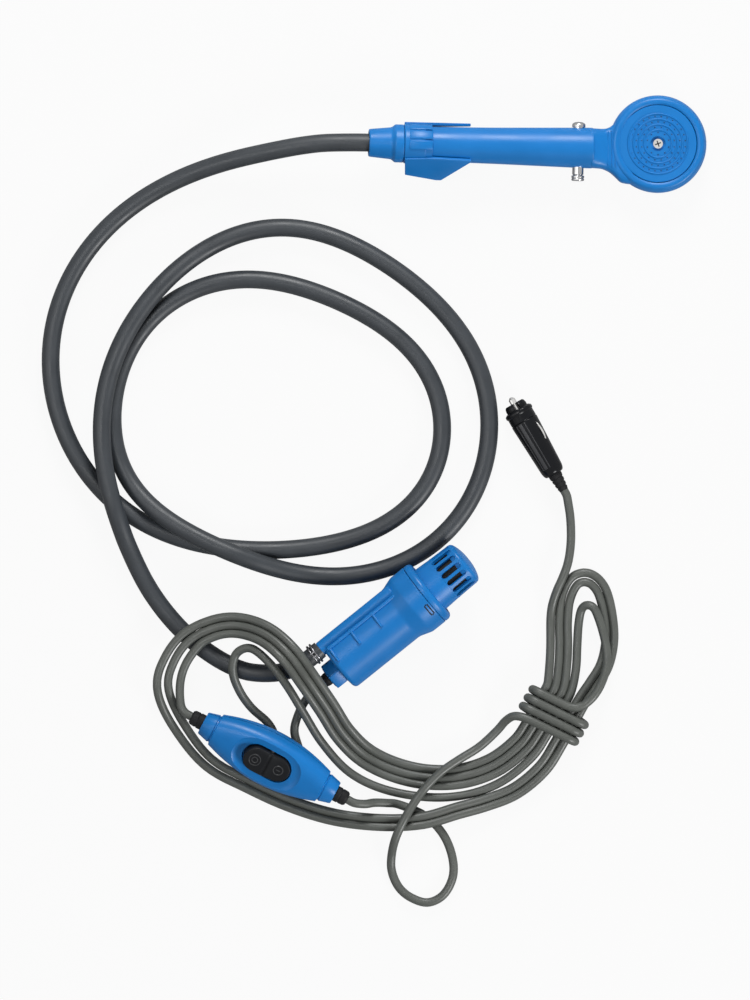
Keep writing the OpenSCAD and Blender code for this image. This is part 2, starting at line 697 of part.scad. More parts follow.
module impeller() color(black) at_pump() difference() {
    hub_r = 4.5;
    union() {
        bar(impeller_d / 2, impeller_back, impeller_back + impeller_t);
        bar(hub_r, impeller_back, shaft_front);
        intersection() {
            bar(impeller_d / 2, impeller_back, shaft_front);
            translate([impeller_back + impeller_t, 0, 0])
                for (i = [0 : vane_count - 1]) rotate([360 * i / vane_count, 0, 0]) vane();
        }
    }
    bar(shaft_r, impeller_back - 1, shaft_front + 1);
}

module motor_can() color(steel) at_pump() difference() {
    bar(can_d / 2, can_back, can_front);
    bar(can_d / 2 - can_wall, can_back - 1, can_front - can_wall);
    bar(shaft_r + run_gap, can_front - 2 * can_wall, can_front + 1);
}

module motor_end_cap() color(black) at_pump() difference() {
    bar(can_d / 2, motor_back, can_back);
    bar(shaft_r + run_gap, motor_back - 1, can_back + 1);
}

module motor_magnets() color("#3a3a3c") at_pump() difference() {
    magnet_back = can_back + 11;
    magnet_front = can_front - 7;
    pole_gap = 9;
    ring(can_d / 2 - can_wall - 0.05, armature_d / 2 + 0.5, magnet_back, magnet_front);
    translate([magnet_back - 1, -pole_gap / 2, -can_d / 2])
        cube([magnet_front - magnet_back + 2, pole_gap, can_d]);
}

armature_back = can_back + 12;
armature_front = can_front - 8;
commutator_back = can_back + 2;

module armature() color("#8a6a4a") at_pump() difference() {
    winding_slot_w = 2.4;
    bar(armature_d / 2, armature_back, armature_front);
    bar(shaft_r, armature_back - 1, armature_front + 1);
    for (i = [0 : 4]) rotate([72 * i, 0, 0])
        translate([armature_back - 1, -winding_slot_w / 2, armature_d / 4])
            cube([armature_front - armature_back + 2, winding_slot_w, armature_d / 2]);
}

module commutator() color("#b8743a") at_pump()
    ring(commutator_d / 2, shaft_r, commutator_back, armature_back - 2);

module motor_brushes() color("#303030") at_pump() for (side = [0, 180]) rotate([side, 0, 0])
    translate([can_back, -1.5, commutator_d / 2 + run_gap])
        cube([6, 3, 6]);

module motor_shaft() color(steel) at_pump() bar(shaft_r, shaft_back, shaft_front);

module gland_nut() color(blue) at_pump() at_gland() difference() {
    translate([gland_back, 0, 0]) rotate([0, 90, 0]) rotate(90)
        cylinder(d = gland_af / cos(30), h = gland_len, $fn = 6);
    bar(gland_boss_r + drop_gap, barrel_back - gland_boss_len - soft_gap, barrel_back);
    bar(grommet_r + drop_gap, gland_back - 1, barrel_back);
}

module cable_grommet() color(black) at_pump() at_gland()
    turned([
        [0, barrel_back - gland_boss_len - soft_gap], [grommet_r, barrel_back - gland_boss_len - soft_gap],
        [grommet_r, gland_back], [grommet_r - 0.8, grommet_end], [0, grommet_end]
    ]);

clamp_wire_r = 0.8;
clamp_r = hose_d / 2 + clamp_wire_r;
clamp_gap = 2.6;
clamp_place = rail_end - 5.5;
clamp_ear = 3;

module hose_clamp() color(steel) at_pump() at_rail() {
    for (side = [-1, 1]) translate([clamp_place + side * clamp_gap / 2, 0, 0]) rotate([0, 90, 0])
        rotate_extrude() translate([clamp_r, 0]) circle(clamp_wire_r, $fn = 24);
    for (ear = [-1, 1]) translate([clamp_place - clamp_gap / 2, ear * 1.6, clamp_r + clamp_ear / 2 - 0.4])
        rotate([0, 90, 0]) cylinder(r = clamp_wire_r, h = clamp_gap, $fn = 24);
    for (side = [-1, 1]) for (ear = [-1, 1])
        translate([clamp_place + side * clamp_gap / 2, ear * 1.6, clamp_r - 0.9])
            cylinder(r = clamp_wire_r, h = clamp_ear, $fn = 24);
}

// Shower head
neck_bite = 0.4;
neck_step = 0.3;
neck_reach = head_r + neck_fillet_r - neck_bite;
neck_drop = handle_r_neck + neck_fillet_r;
neck_run = sqrt(neck_reach * neck_reach - neck_drop * neck_drop);

module neck_block() {
    from = head_x - neck_x - 12;
    to = neck_run * head_r / neck_reach;
    block_h = head_h - 2;
    translate([0, 0, 1]) linear_extrude(block_h) difference() {
        translate([-from, -head_r]) square([from - to, 2 * head_r]);
        for (side = [-1, 1]) translate([-neck_run, side * neck_drop]) circle(neck_fillet_r);
    }
    translate([-to - 0.5, -head_r / 2, 1]) cube([to, head_r, block_h]);
}

neck_ramp_len = 11;
head_edge = 10;
head_belly = 11;

module neck_ramp() hull() {
    at_handle() bar(handle_r_neck - neck_step, -3, 0.5, $fn = 40);
    translate([neck_x + neck_ramp_len, head_y - handle_r_neck, 2]) cube([2, 2 * handle_r_neck, head_h - 3.3]);
}

module shower_body() color(blue) difference() {
    union() {
        at_head() {
            rotate_extrude() polygon([
                [0, 0], [head_r - head_edge, 0], [head_r - 4, 2.5], [head_r - 0.8, 7], [head_r, head_belly],
                [head_r, head_h - 5], [head_r - 1, head_h - 2], [head_r - 3, head_h - 0.4],
                [head_r - 5, head_h], [plate_seat_r - 0.5, head_h - 0.6], [0, head_h - 0.6]
            ]);
            neck_block();
        }
        neck_ramp();
        at_handle() turned([
            [0, spigot_end], [spigot_r, spigot_end], [spigot_r, seat_back], [seat_r, seat_back],
            [seat_r, seat_front], [handle_r_tail, seat_front], [handle_r_neck, 0], [0, 0]
        ]);
    }
    at_head() {
        translate([0, 0, plate_seat_z]) cylinder(r = plate_seat_r, h = head_h);
        difference() {
            translate([0, 0, head_floor]) cylinder(r = chamber_r, h = head_h);
            cylinder(r = 4.5, h = plate_bottom - drop_gap);
        }
        translate([0, 0, head_floor]) cylinder(r = screw_r, h = head_h);
    }
    at_handle() {
        bar(water_r, spigot_end - 1, 24);
        translate([-valve_back, 0, 0]) cross_bar(valve_r + run_gap, -handle_d_neck, handle_d_neck);
    }
}

module plate_holes() {
    rings_of_holes = [[8.4, 10], [12.4, 16], [16.4, 22], [20.4, 28]];
    for (row = rings_of_holes)
        for (i = [0 : row[1] - 1]) rotate(360 * (i + 0.5) / row[1]) translate([row[0], 0, -1])
            cylinder(d = hole_d, h = plate_t + 4);
}

module spray_plate() color(blue) at_head() translate([0, 0, plate_bottom]) difference() {
    ridge = 0.5;
    rotate_extrude() polygon([
        [0, 0], [plate_d / 2, 0], [plate_d / 2, plate_t - 0.5], [plate_d / 2 - 0.5, plate_t],
        [22.9, plate_t], [22.4, plate_t + ridge], [21.9, plate_t],
        [18.9, plate_t], [18.4, plate_t + ridge], [17.9, plate_t],
        [14.9, plate_t], [14.4, plate_t + ridge], [13.9, plate_t],
        [10.9, plate_t], [10.4, plate_t + ridge], [9.9, plate_t], [0, plate_t]
    ]);
    plate_holes();
    translate([0, 0, plate_t - screw_pocket_depth]) cylinder(r = screw_pocket_r, h = 3);
    translate([0, 0, -1]) cylinder(r = screw_r + drop_gap, h = plate_t + 2);
}

module plate_gasket() color(black) at_head() translate([0, 0, plate_seat_z]) difference() {
    cylinder(r = plate_seat_r - drop_gap, h = gasket_t);
    translate([0, 0, -1]) cylinder(r = chamber_r, h = gasket_t + 2);
}

module plate_screw() color(steel) at_head() {
    shank_len = 11;
    seat_z = plate_top - screw_pocket_depth;
    translate([0, 0, seat_z]) difference() {
        cylinder(r1 = screw_head_r, r2 = screw_head_r - 0.8, h = 1.5);
        for (a = [0, 90]) rotate(a + 20) translate([-2.4, -0.45, 0.7]) cube([4.8, 0.9, 2]);
    }
    translate([0, 0, seat_z - shank_len]) cylinder(r = screw_r, h = shank_len);
}

valve_out = 9.75;
valve_top = 4;
valve_flange_r = valve_r + 0.6;
o_ring_w = 1.2;
o_ring_depth = 0.8;
o_ring_places = [-9, 3.4];
valve_waist_r = 2.4;
valve_cap_gap = 0.3;

module at_valve() at_handle() translate([-valve_back, 0, 0]) children();

module valve_pin() color(steel) at_valve() difference() {
    low = -handle_r_valve - valve_out;
    high = handle_r_valve + valve_cap_gap;
    union() {
        cross_bar(valve_r, low + 4.2, high);
        cross_bar(valve_flange_r, low, low + 4);
        cross_bar(valve_r - 0.8, low + 3.9, low + 4.3);
    }
    for (at = o_ring_places) cross_ring(valve_r + 1, valve_r - o_ring_depth, at, at + o_ring_w);
    cross_ring(valve_r + 1, valve_waist_r, -6.5, 2);
    cross_ring(valve_flange_r + 1, valve_flange_r - 0.5, low + 1.6, low + 2.2);
}

module valve_cap() color(steel) at_valve() rotate([-90, 0, 0]) translate([0, 0, handle_r_valve + valve_cap_gap])
    rotate_extrude() polygon([
        [0, 0], [valve_flange_r + 0.2, 0], [valve_flange_r + 0.2, valve_top - 1.4], [valve_flange_r - 1, valve_top - 0.4],
        [valve_flange_r - 2.6, valve_top], [0, valve_top]
    ]);

module valve_o_rings() color(black) at_valve()
    for (at = o_ring_places) cross_ring(valve_r, valve_r - o_ring_depth, at, at + o_ring_w);

module hose_tail() color(black) at_handle() difference() {
    union() {
        bar(tail_flange_r, tail_flange_end, tail_flange_end + tail_flange_t);
        bar(barb_r, tail_end, tail_flange_end);
    }
    bar(rail_bore_r, tail_end - 1, spigot_end);
}

module hose_washer() color(black) at_handle() ring(tail_flange_r, water_r, spigot_end - washer_t, spigot_end);

module hose_nut() color(blue) at_handle() difference() {
    nut_r = nut_d / 2;
    mouth_r = nut_mouth_d / 2;
    shoulder = tail_flange_end - drop_gap;
    turned([
        [0, nut_back], [mouth_r - 0.8, nut_back], [mouth_r, nut_back + 0.8], [mouth_r + 1.4, nut_front - 8.5],
        [nut_r - 0.8, nut_front - 7.4], [nut_r, nut_front - 6.4], [nut_r, nut_front - 0.8],
        [nut_r - 0.8, nut_front], [0, nut_front]
    ]);
    turned([
        [0, nut_back - 1], [mouth_r - 1.6, nut_back - 1], [mouth_r - 1.6, nut_back + 1], [hose_d / 2 + soft_gap, shoulder - 2],
        [hose_d / 2 + soft_gap, shoulder], [tail_flange_r + soft_gap, shoulder],
        [tail_flange_r + soft_gap, spigot_end], [spigot_r + drop_gap, spigot_end],
        [spigot_r + drop_gap, nut_front + 1], [0, nut_front + 1]
    ]);
}

module bracket_leg(side) {
    inner = handle_r_tail + (handle_r_neck - handle_r_tail) * leg_reach / grip_len + 0.4;
    collar_back = seat_back + drop_gap;
    collar_end = seat_front;
    rotate([side * (90 - leg_spread), 0, 0])
        translate([0, 0, inner]) linear_extrude(leg_t) polygon([
            [collar_back + 0.4, 0], [collar_back + 1.6, -side * (leg_depth - 5)],
            [collar_end + 4, -side * leg_depth], [collar_end + 8, -side * leg_depth],
            [collar_end + leg_reach, -side * 2], [collar_end + leg_reach, 0],
            [collar_end, side * 1]
        ]);
}

module hanger_bracket() color(blue) at_handle() rotate([-bracket_roll, 0, 0]) difference() {
    collar_back = seat_back + drop_gap;
    union() {
        bar(bracket_d / 2, collar_back, seat_front);
        for (side = [-1, 1]) bracket_leg(side);
    }
    bar(seat_r + run_gap, collar_back - 1, seat_front + 0.05);
    for (a = [-60 : 15 : 15]) rotate([a + bracket_roll, 0, 0])
        translate([collar_back + 3, -0.4, bracket_d / 2 - 0.5]) cube([bracket_len, 0.8, 2]);
}

module hose() color(hose_grey) hollow_cord(hose_route, hose_d / 2, hose_bore / 2, hose_sides);

// Cord switch
shell_power = 0.7;
dish_edge = 0.6;
dish_depth = 3.4;
dish_floor = 0.4;
shell_stations = [[0, 1], [0.3, 0.955], [0.58, 0.8], [0.8, 0.6]];
neck_band = 14;
relief_depth = 7;
screw_place = 34;
screw_seat = 7;
switch_screw_r = 1.2;
switch_screw_head_r = 2.6;
terminal_place = 13;
contact_low = 5.8;
contact_strip_t = 0.8;
contact_stem_r = 1.9;
contact_stem_top = 1.9;
rocker_depth = 4;
terminal_top = rocker_axle_z - contact_low * cos(rocker_swing / 2) - terminal_place * sin(rocker_swing / 2) - drop_gap / 2;

// One section of the shells, flat-topped above the seam and round below it
shell_section = [for (a = [0 : 9 : 351]) let (c = cos(a), r = sin(a) > 0 ? shell_power : 1)
    [sign(c) * pow(abs(c), r) / 2, sign(sin(a)) * pow(abs(sin(a)), r) / 2]];

module switch_bulb(inset) hull() for (end = [-1, 1]) for (p = shell_stations)
    translate([end * p[0] * (switch_half - inset), 0, 0])
        scale([1, switch_w * p[1] - 2 * inset, switch_h * p[1] - 2 * inset]) rotate([90, 0, 90])
            linear_extrude(0.5, center = true) polygon(shell_section);

module switch_form() {
    for (end = [0, 180]) rotate([0, 0, end]) turned([
        [0, switch_half - neck_band], [neck_r, switch_half - neck_band], [neck_end_r, switch_half], [0, switch_half]
    ]);
    switch_bulb(0);
}

module relief_bores() for (end = [0, 180]) rotate([0, 0, end]) {
    bar(relief_r, switch_half - relief_depth, relief_end);
    bar(cable_r + soft_gap, switch_half - 2 * neck_band, switch_half);
}

module rocker_outline(grow) {
    flat = rocker_len - rocker_w;
    translate([-flat / 2, -rocker_r - grow]) square([flat, rocker_w + 2 * grow]);
    for (end = [-1, 1]) translate([end * flat / 2, 0]) circle(rocker_r + grow);
}

module rocker_dish() hull() {
    translate([0, 0, switch_h / 2 + rim_h - dish_depth]) linear_extrude(0.1) rocker_outline(rocker_gap + dish_floor);
    translate([0, 0, switch_h / 2 + rim_h]) linear_extrude(0.1) rocker_outline(rim_w - dish_edge);
}

module switch_upper_shell() color(blue) at_switch() difference() {
    union() {
        intersection() {
            switch_form();
            translate([-switch_len, -switch_w, drop_gap / 2]) cube([2 * switch_len, 2 * switch_w, switch_w]);
        }
        translate([0, 0, switch_h / 2 - rim_depth]) linear_extrude(rim_depth + rim_h) rocker_outline(rim_w);
    }
    difference() {
        switch_bulb(switch_wall);
        for (side = [-1, 1]) translate([-4, side * (axle_len / 2 - 1) - 1.2, 0]) cube([8, 2.4, switch_h]);
        for (end = [-1, 1]) translate([end * screw_place, 0, 0]) cylinder(r = 4, h = switch_h);
    }
    for (end = [-1, 1]) translate([end * screw_place, 0, -1]) cylinder(r = switch_screw_r, h = 6);
    translate([0, 0, switch_h / 2 - 9]) linear_extrude(20) rocker_outline(rocker_gap);
    rocker_dish();
    translate([0, 0, rocker_axle_z]) cross_bar(axle_r, -axle_len / 2, axle_len / 2);
    relief_bores();
}

module switch_lower_shell() color(blue) at_switch() difference() {
    intersection() {
        switch_form();
        translate([-switch_len, -switch_w, -switch_w - drop_gap / 2]) cube([2 * switch_len, 2 * switch_w, switch_w]);
    }
    difference() {
        switch_bulb(switch_wall);
        for (end = [-1, 1]) translate([end * screw_place, 0, -switch_h]) cylinder(r = 4, h = switch_h - 2);
        for (end = [-1, 1]) translate([end * terminal_place - 3, -2.5, -switch_h]) cube([6, 5, switch_h]);
    }
    relief_bores();
    for (end = [-1, 1]) translate([end * screw_place, 0, -switch_h]) {
        cylinder(r = switch_screw_r + drop_gap, h = switch_h);
        cylinder(r = switch_screw_head_r + 0.2, h = switch_h - screw_seat);
    }
}

module switch_screws() color(steel) at_switch() for (end = [-1, 1]) translate([end * screw_place, 0, -screw_seat]) {
    cylinder(r = switch_screw_r, h = screw_seat + 4.5);
    translate([0, 0, -1.6]) cylinder(r = switch_screw_head_r, h = 1.6);
}

module at_rocker() at_switch() translate([0, 0, rocker_axle_z]) rotate([0, rocker_swing / 2, 0]) children();

module rocker() color(black) at_rocker() difference() {
    rise = switch_h / 2 + rim_h + rocker_top - rocker_axle_z;
    dish_r = 60;
    translate([0, 0, -rocker_depth]) linear_extrude(rise + rocker_depth) rocker_outline(0);
    for (end = [-1, 1]) translate([end * rocker_len / 4, 0, rise - 1.2 + dish_r]) rotate([90, 0, 0])
        cylinder(r = dish_r, h = 2 * rocker_w, center = true, $fn = 128);
    translate([-0.6, -rocker_w, rise - 1.8]) cube([1.2, 2 * rocker_w, 3]);
    cross_bar(axle_r + run_gap, -rocker_w, rocker_w);
    translate([0, 0, -rocker_depth - 1]) cylinder(r = contact_stem_r + drop_gap, h = rocker_depth + 1);
}

module rocker_axle() color(steel) at_switch() translate([0, 0, rocker_axle_z]) cross_bar(axle_r, -axle_len / 2, axle_len / 2);

module rocker_contact() color("#b8743a") at_rocker() translate([0, 0, -contact_low]) {
    cylinder(r = contact_stem_r, h = contact_low - contact_stem_top);
    translate([-terminal_place, -2.5, 0]) cube([2 * terminal_place, 5, contact_strip_t]);
}

module switch_terminals() color("#b8743a") at_switch() for (end = [-1, 1])
    translate([end * terminal_place, 0, -drop_gap / 2]) {
        translate([-4, -3, 0]) cube([8, 6, 1]);
        cylinder(r = 1.6, h = terminal_top);
    }

module relief() turned([
    [0, switch_half - relief_depth], [relief_r, switch_half - relief_depth], [relief_r, switch_half + 4],
    [relief_r - 1.4, relief_end], [0, relief_end]
]);
module switch_relief_left() color(black) at_switch() rotate([0, 0, 180]) relief();
module switch_relief_right() color(black) at_switch() relief();

// Car plug, measured from its nose along its axis
fuse_r = 3.1;
fuse_len = 30;
tip_flange_r = tip_r + 0.8;
tip_flange_t = 2;
tip_out = 5;
notch_depth = 5;
nose_front_r = plug_r - 3.5;
nose_neck_r = plug_r - 2.4;
nose_r = plug_r - 0.3;
nose_neck = 1.6;
nose_step = notch_depth + 0.4;
nose_flare = nose_step + 1.7;
rib_w = 2.8;
rib_h = 0.6;
rib_turn = 18;
rib_front = shell_front + 1;
rib_back = shell_back - 6;
tip_seat = 6;
spring_len = 9;
spring_r = 2.6;
fuse_front = tip_seat + tip_flange_t;
spring_front = fuse_front + fuse_len;
spring_gap = tip_travel + soft_gap;
contact_arc_r = 24;
contact_sag = contact_len * contact_len / 8 / contact_arc_r;
contact_floor = plug_r + contact_proud - contact_sag - contact_t - contact_travel - soft_gap;

module nose_notches() for (i = [0 : 3]) rotate([90 * i + 45, 0, 0])
    translate([-1, tip_r + 1.2, -1.8]) cube([notch_depth + 1, plug_r, 3.6]);

module plug_nose() color(black) at_plug() difference() {
    turned([
        [0, 0], [nose_front_r, 0], [nose_neck_r, nose_neck], [nose_neck_r, nose_step], [nose_r, nose_flare],
        [nose_r, nose_len - 1], [nose_r - 0.4, nose_len], [0, nose_len]
    ]);
    nose_notches();
    bar(tip_r + run_gap, -1, tip_seat + 1);
    bar(tip_flange_r + run_gap, tip_seat, nose_len + 1);
}

module plug_tip() color(steel) at_plug() turned([
    [0, -tip_out], [tip_r - 1.6, -tip_out], [tip_r, -tip_out + 1.6], [tip_r, tip_seat + drop_gap],
    [tip_flange_r, tip_seat + drop_gap], [tip_flange_r, tip_seat + tip_flange_t], [0, tip_seat + tip_flange_t]
]);

module plug_fuse() color("#d8dcd8") at_plug() bar(fuse_r, fuse_front, spring_front - spring_gap);

module plug_spring() color(steel) at_plug()
    ring(spring_r, spring_r - 0.7, spring_front, spring_front + spring_len - soft_gap);

module plug_form() turned([
    [0, shell_front], [plug_r - 0.5, shell_front], [plug_r, shell_front + 0.5], [plug_back_r, shell_back - 4],
    [plug_back_r - 0.8, shell_back - 1.2], [plug_back_r - 2, shell_back], [0, shell_back]
]);

module plug_rib() rotate([-rib_turn, 0, 0]) intersection() {
    turned([[0, rib_front], [plug_r + rib_h, rib_front], [plug_back_r + rib_h, rib_back], [0, rib_back]]);
    translate([0, -rib_w / 2, 0]) cube([2 * shell_back, rib_w, 2 * plug_r]);
}

module contact_slot(side) rotate([side * 90, 0, 0])
    translate([contact_front - 0.6, -contact_w / 2 - soft_gap, contact_floor])
        cube([contact_len + 1.2, contact_w + 2 * soft_gap, plug_r]);

module plug_hollow() {
    bar(fuse_r + 0.7, shell_front - 1, spring_front + spring_len);
    bar(plug_relief_r, shell_back - 6, shell_back + 1);
    for (side = [-1, 1]) contact_slot(side);
}

module plug_shell_upper() color(black) at_plug() difference() {
    union() {
        plug_form();
        plug_rib();
    }
    plug_hollow();
    translate([0, -2 * plug_r, -4 * plug_r + drop_gap / 2]) cube([2 * shell_back, 4 * plug_r, 4 * plug_r]);
}

module plug_shell_lower() color(black) at_plug() difference() {
    plug_form();
    plug_hollow();
    translate([0, -2 * plug_r, -drop_gap / 2]) cube([2 * shell_back, 4 * plug_r, 4 * plug_r]);
}

module side_contact(side) color(steel) at_plug() rotate([side * 90, 0, 0])
    translate([contact_front + contact_len / 2, 0, 0]) intersection() {
        bow = plug_r + contact_proud;
        translate([0, contact_w / 2, bow - contact_arc_r]) rotate([90, 0, 0]) difference() {
            cylinder(r = contact_arc_r, h = contact_w);
            translate([0, 0, -1]) cylinder(r = contact_arc_r - contact_t, h = contact_w + 2);
        }
        translate([-contact_len / 2, -contact_w / 2, contact_floor])
            cube([contact_len, contact_w, plug_r]);
    }
module plug_contact_right() side_contact(-1);
module plug_contact_left() side_contact(1);

module plug_relief() color(black) at_plug() difference() {
    turned([
        [0, shell_back - 6], [plug_relief_r, shell_back - 6], [plug_relief_r, shell_back + 2],
        [cable_r + 1, plug_lead_start], [0, plug_lead_start]
    ]);
    for (i = [1 : 3]) ring(plug_relief_r + 1, cable_r + 1, shell_back + 3.4 * i, shell_back + 3.4 * i + 1.2);
}

// Cable
module pump_lead() color(cable_grey) cord(lead_path, cable_r, tube_sides);
module cable_hank() color(cable_grey) cord(hank_path, cable_r, hank_sides);
module cable_wraps() color(cable_grey) cord(wrap_path, cable_r, hank_sides);
module drop_loop() color(cable_grey) cord(drop_path, cable_r, tube_sides);
module switch_tail() color(cable_grey) cord(tail_path, cable_r, tube_sides);
module plug_lead() color(cable_grey) cord(plug_lead_path, cable_r, tube_sides);

pump_housing();
strainer_cap();
filter_sleeve();
cap_seal();
seal_plate();
shaft_seal();
impeller();
motor_can();
motor_end_cap();
motor_magnets();
armature();
commutator();
motor_brushes();
motor_shaft();
gland_nut();
cable_grommet();
hose_clamp();
shower_body();
spray_plate();
plate_gasket();
plate_screw();
valve_pin();
valve_cap();
valve_o_rings();
hose_tail();
hose_washer();
hose_nut();
hanger_bracket();
hose();
switch_upper_shell();
switch_lower_shell();
rocker();
rocker_axle();
rocker_contact();
switch_terminals();
switch_screws();
switch_relief_left();
switch_relief_right();
plug_shell_upper();
plug_shell_lower();
plug_nose();
plug_tip();
plug_spring();
plug_fuse();
plug_contact_right();
plug_contact_left();
plug_relief();
pump_lead();
cable_hank();
cable_wraps();
drop_loop();
switch_tail();
plug_lead();
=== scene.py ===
import json
import math
from typing import NamedTuple

import bmesh
import bpy
from bpy.props import FloatProperty, FloatVectorProperty, IntProperty, PointerProperty
from mathutils import Matrix, Vector

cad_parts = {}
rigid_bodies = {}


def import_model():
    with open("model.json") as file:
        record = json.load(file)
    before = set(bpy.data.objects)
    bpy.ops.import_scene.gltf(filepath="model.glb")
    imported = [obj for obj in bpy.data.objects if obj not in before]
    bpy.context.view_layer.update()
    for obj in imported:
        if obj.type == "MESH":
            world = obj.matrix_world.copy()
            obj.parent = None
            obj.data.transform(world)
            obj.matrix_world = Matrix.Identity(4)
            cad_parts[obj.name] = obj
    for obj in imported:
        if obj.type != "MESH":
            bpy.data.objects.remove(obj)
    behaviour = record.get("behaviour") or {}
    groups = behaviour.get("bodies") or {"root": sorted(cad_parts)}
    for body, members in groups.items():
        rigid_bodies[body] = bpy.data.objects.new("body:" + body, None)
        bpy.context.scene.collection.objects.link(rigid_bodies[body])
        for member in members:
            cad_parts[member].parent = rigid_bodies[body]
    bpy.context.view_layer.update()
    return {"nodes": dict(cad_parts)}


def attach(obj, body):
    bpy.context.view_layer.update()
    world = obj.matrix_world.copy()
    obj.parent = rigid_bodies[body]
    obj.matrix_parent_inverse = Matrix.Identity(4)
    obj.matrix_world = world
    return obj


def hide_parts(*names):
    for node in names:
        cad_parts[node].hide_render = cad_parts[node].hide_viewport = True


bl_info = {
    "name": "Camp shower set",
    "version": (1, 0, 0),
    "blender": (4, 5, 0),
    "location": "View3D > Sidebar > Shower set",
    "description": "Dresses the packed camp shower set: pump, shower head, hose, cord switch and car plug",
    "category": "Object",
}

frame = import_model()
NODES = frame["nodes"]
MM = 0.001


# Places of the housings: millimetres in, metres out


def rot(axis, degrees):
    return Matrix.Rotation(math.radians(degrees), 4, axis)


def shift(x, y, z):
    return Matrix.Translation((x, y, z))


def placed(at, heading=0.0, pitch=0.0, roll=0.0):
    place = Matrix.Translation(Vector(at) * MM) @ rot("Z", heading) @ rot("Y", pitch) @ rot("X", roll)
    return place @ Matrix.Scale(MM, 4)


BARREL_R = 22.25
COLLAR_R = 25.5
BARREL_BACK = -31.0
BARREL_FRONT = 32.0
COLLAR_FRONT = 53.0
PUMP_PITCH = math.degrees(math.atan((COLLAR_R - BARREL_R) / (BARREL_FRONT - BARREL_BACK)))
PUMP_Z = BARREL_R * math.cos(math.radians(PUMP_PITCH)) - BARREL_BACK * math.sin(math.radians(PUMP_PITCH))
PUMP = placed((-102, -184, PUMP_Z), 38.8, -PUMP_PITCH)
MOUTH_R = 23.0
MOUTH_FLOOR = 47.8
CHAMBER_R = 21.0
CHAMBER_FLOOR = 23.6
MOTOR_R = 17.4
MOTOR_FLOOR = -26.5
CAP_FRONT = 59.2
CAP_TIP = CAP_FRONT + 33.5
CAGE_R = 17.6
SLOT_WIDTH = 4.6
SLOT_FRONT = CAP_TIP - 3.5
SLOT_BACK = SLOT_FRONT - 17
RAIL_R = 5.6
RAIL_BORE = 2.2
RAIL_REACH = 20.5
RAIL_ANGLE = math.radians(35)
RAIL_Y = RAIL_REACH * math.cos(RAIL_ANGLE)
RAIL_Z = RAIL_REACH * math.sin(RAIL_ANGLE)
RAIL_END = BARREL_BACK - 1.5
BARB_LEN = 18.0
RAIL = PUMP @ shift(0, RAIL_Y, RAIL_Z)
GLAND_Y = -4.0
GLAND_Z = -4.0
GLAND_FLATS = 20.6
GLAND_BACK = BARREL_BACK - 10.2
GROMMET_END = GLAND_BACK - 6.0
GLAND = PUMP @ shift(0, GLAND_Y, GLAND_Z)

HEAD_H = 23.5
HEAD_R = 36.5
PLATE_TOP = 22.7
HEAD = placed((114, 186, 0))
HANDLE_R = 15.2
TAIL_R = 13.1
BRACKET_R = 14.7
FIN_REACH = 29.0
SEAT_FRONT = -119.5
HANDLE_SLOPE = (TAIL_R - HANDLE_R) / SEAT_FRONT
SEAT_BACK = SEAT_FRONT - 21.1
NUT_FRONT = SEAT_BACK - 0.1
NUT_BACK = NUT_FRONT - 26.0
SPIGOT_END = SEAT_BACK - 10.0
HOSE_START = SPIGOT_END - 3.1
HANDLE = placed((64, 183, HANDLE_R + 0.3), -1.2, 4)
VALVE_AT = -9.4
VALVE = HANDLE @ shift(VALVE_AT, 0, 0)

SWITCH_HALF = 56.0
SWITCH_H = 28.0
RELIEF_END = SWITCH_HALF + 10.0
SWITCH = placed((-176.5, -273, 21.1), -28, 0, 23)

PLUG_R = 10.5
PLUG_BACK_R = 8.6
NOSE_LEN = 15.0
SHELL_BACK = NOSE_LEN + 46.0
PLUG_LEAD_START = SHELL_BACK + 14.0
PLUG = placed((6.5, -8, PLUG_R + 0.1), -60, 0, 42)


# Mesh helpers


def rounded(corners, steps=5):
    """Points of an outline whose corners, given as (radius, along, cut), are eased by their cut."""
    points = []
    count = len(corners)
    for i, corner in enumerate(corners):
        here = Vector(corner[:2])
        cut = corner[2] if len(corner) > 2 else 0.0
        if cut <= 0 or i in (0, count - 1):
            points.append(here)
            continue
        before = Vector(corners[i - 1][:2]) - here
        after = Vector(corners[i + 1][:2]) - here
        start = here + before.normalized() * min(cut, before.length * 0.49)
        end = here + after.normalized() * min(cut, after.length * 0.49)
        for k in range(steps + 1):
            t = k / steps
            points.append(start * (1 - t) ** 2 + here * 2 * t * (1 - t) + end * t ** 2)
    return points


def around(axis, radius, along, angle):
    a = radius * math.cos(angle)
    b = radius * math.sin(angle)
    if axis == "x":
        return Vector((along, a, b))
    if axis == "y":
        return Vector((a, along, b))
    return Vector((a, b, along))


def turn(bm, place, corners, axis="x", sides=72):
    """A body turned about an axis; an outline that ends off the axis is closed as a ring."""
    outline = rounded(corners)
    if outline[0].x > 1e-6 or outline[-1].x > 1e-6:
        outline.append(outline[0])
    rows = []
    for p in outline:
        if p.x < 1e-6:
            rows.append([bm.verts.new(place @ around(axis, 0, p.y, 0))])
        else:
            step = 2 * math.pi / sides
            rows.append([bm.verts.new(place @ around(axis, p.x, p.y, step * k)) for k in range(sides)])
    for low, high in zip(rows, rows[1:]):
        stitch(bm, low, high)


def stitch(bm, low, high):
    count = max(len(low), len(high))
    for k in range(count):
        n = (k + 1) % count
        if len(low) == 1 and len(high) == 1:
            continue
        if len(low) == 1:
            bm.faces.new((low[0], high[n], high[k]))
        elif len(high) == 1:
            bm.faces.new((low[k], low[n], high[0]))
        else:
            bm.faces.new((low[k], low[n], high[n], high[k]))


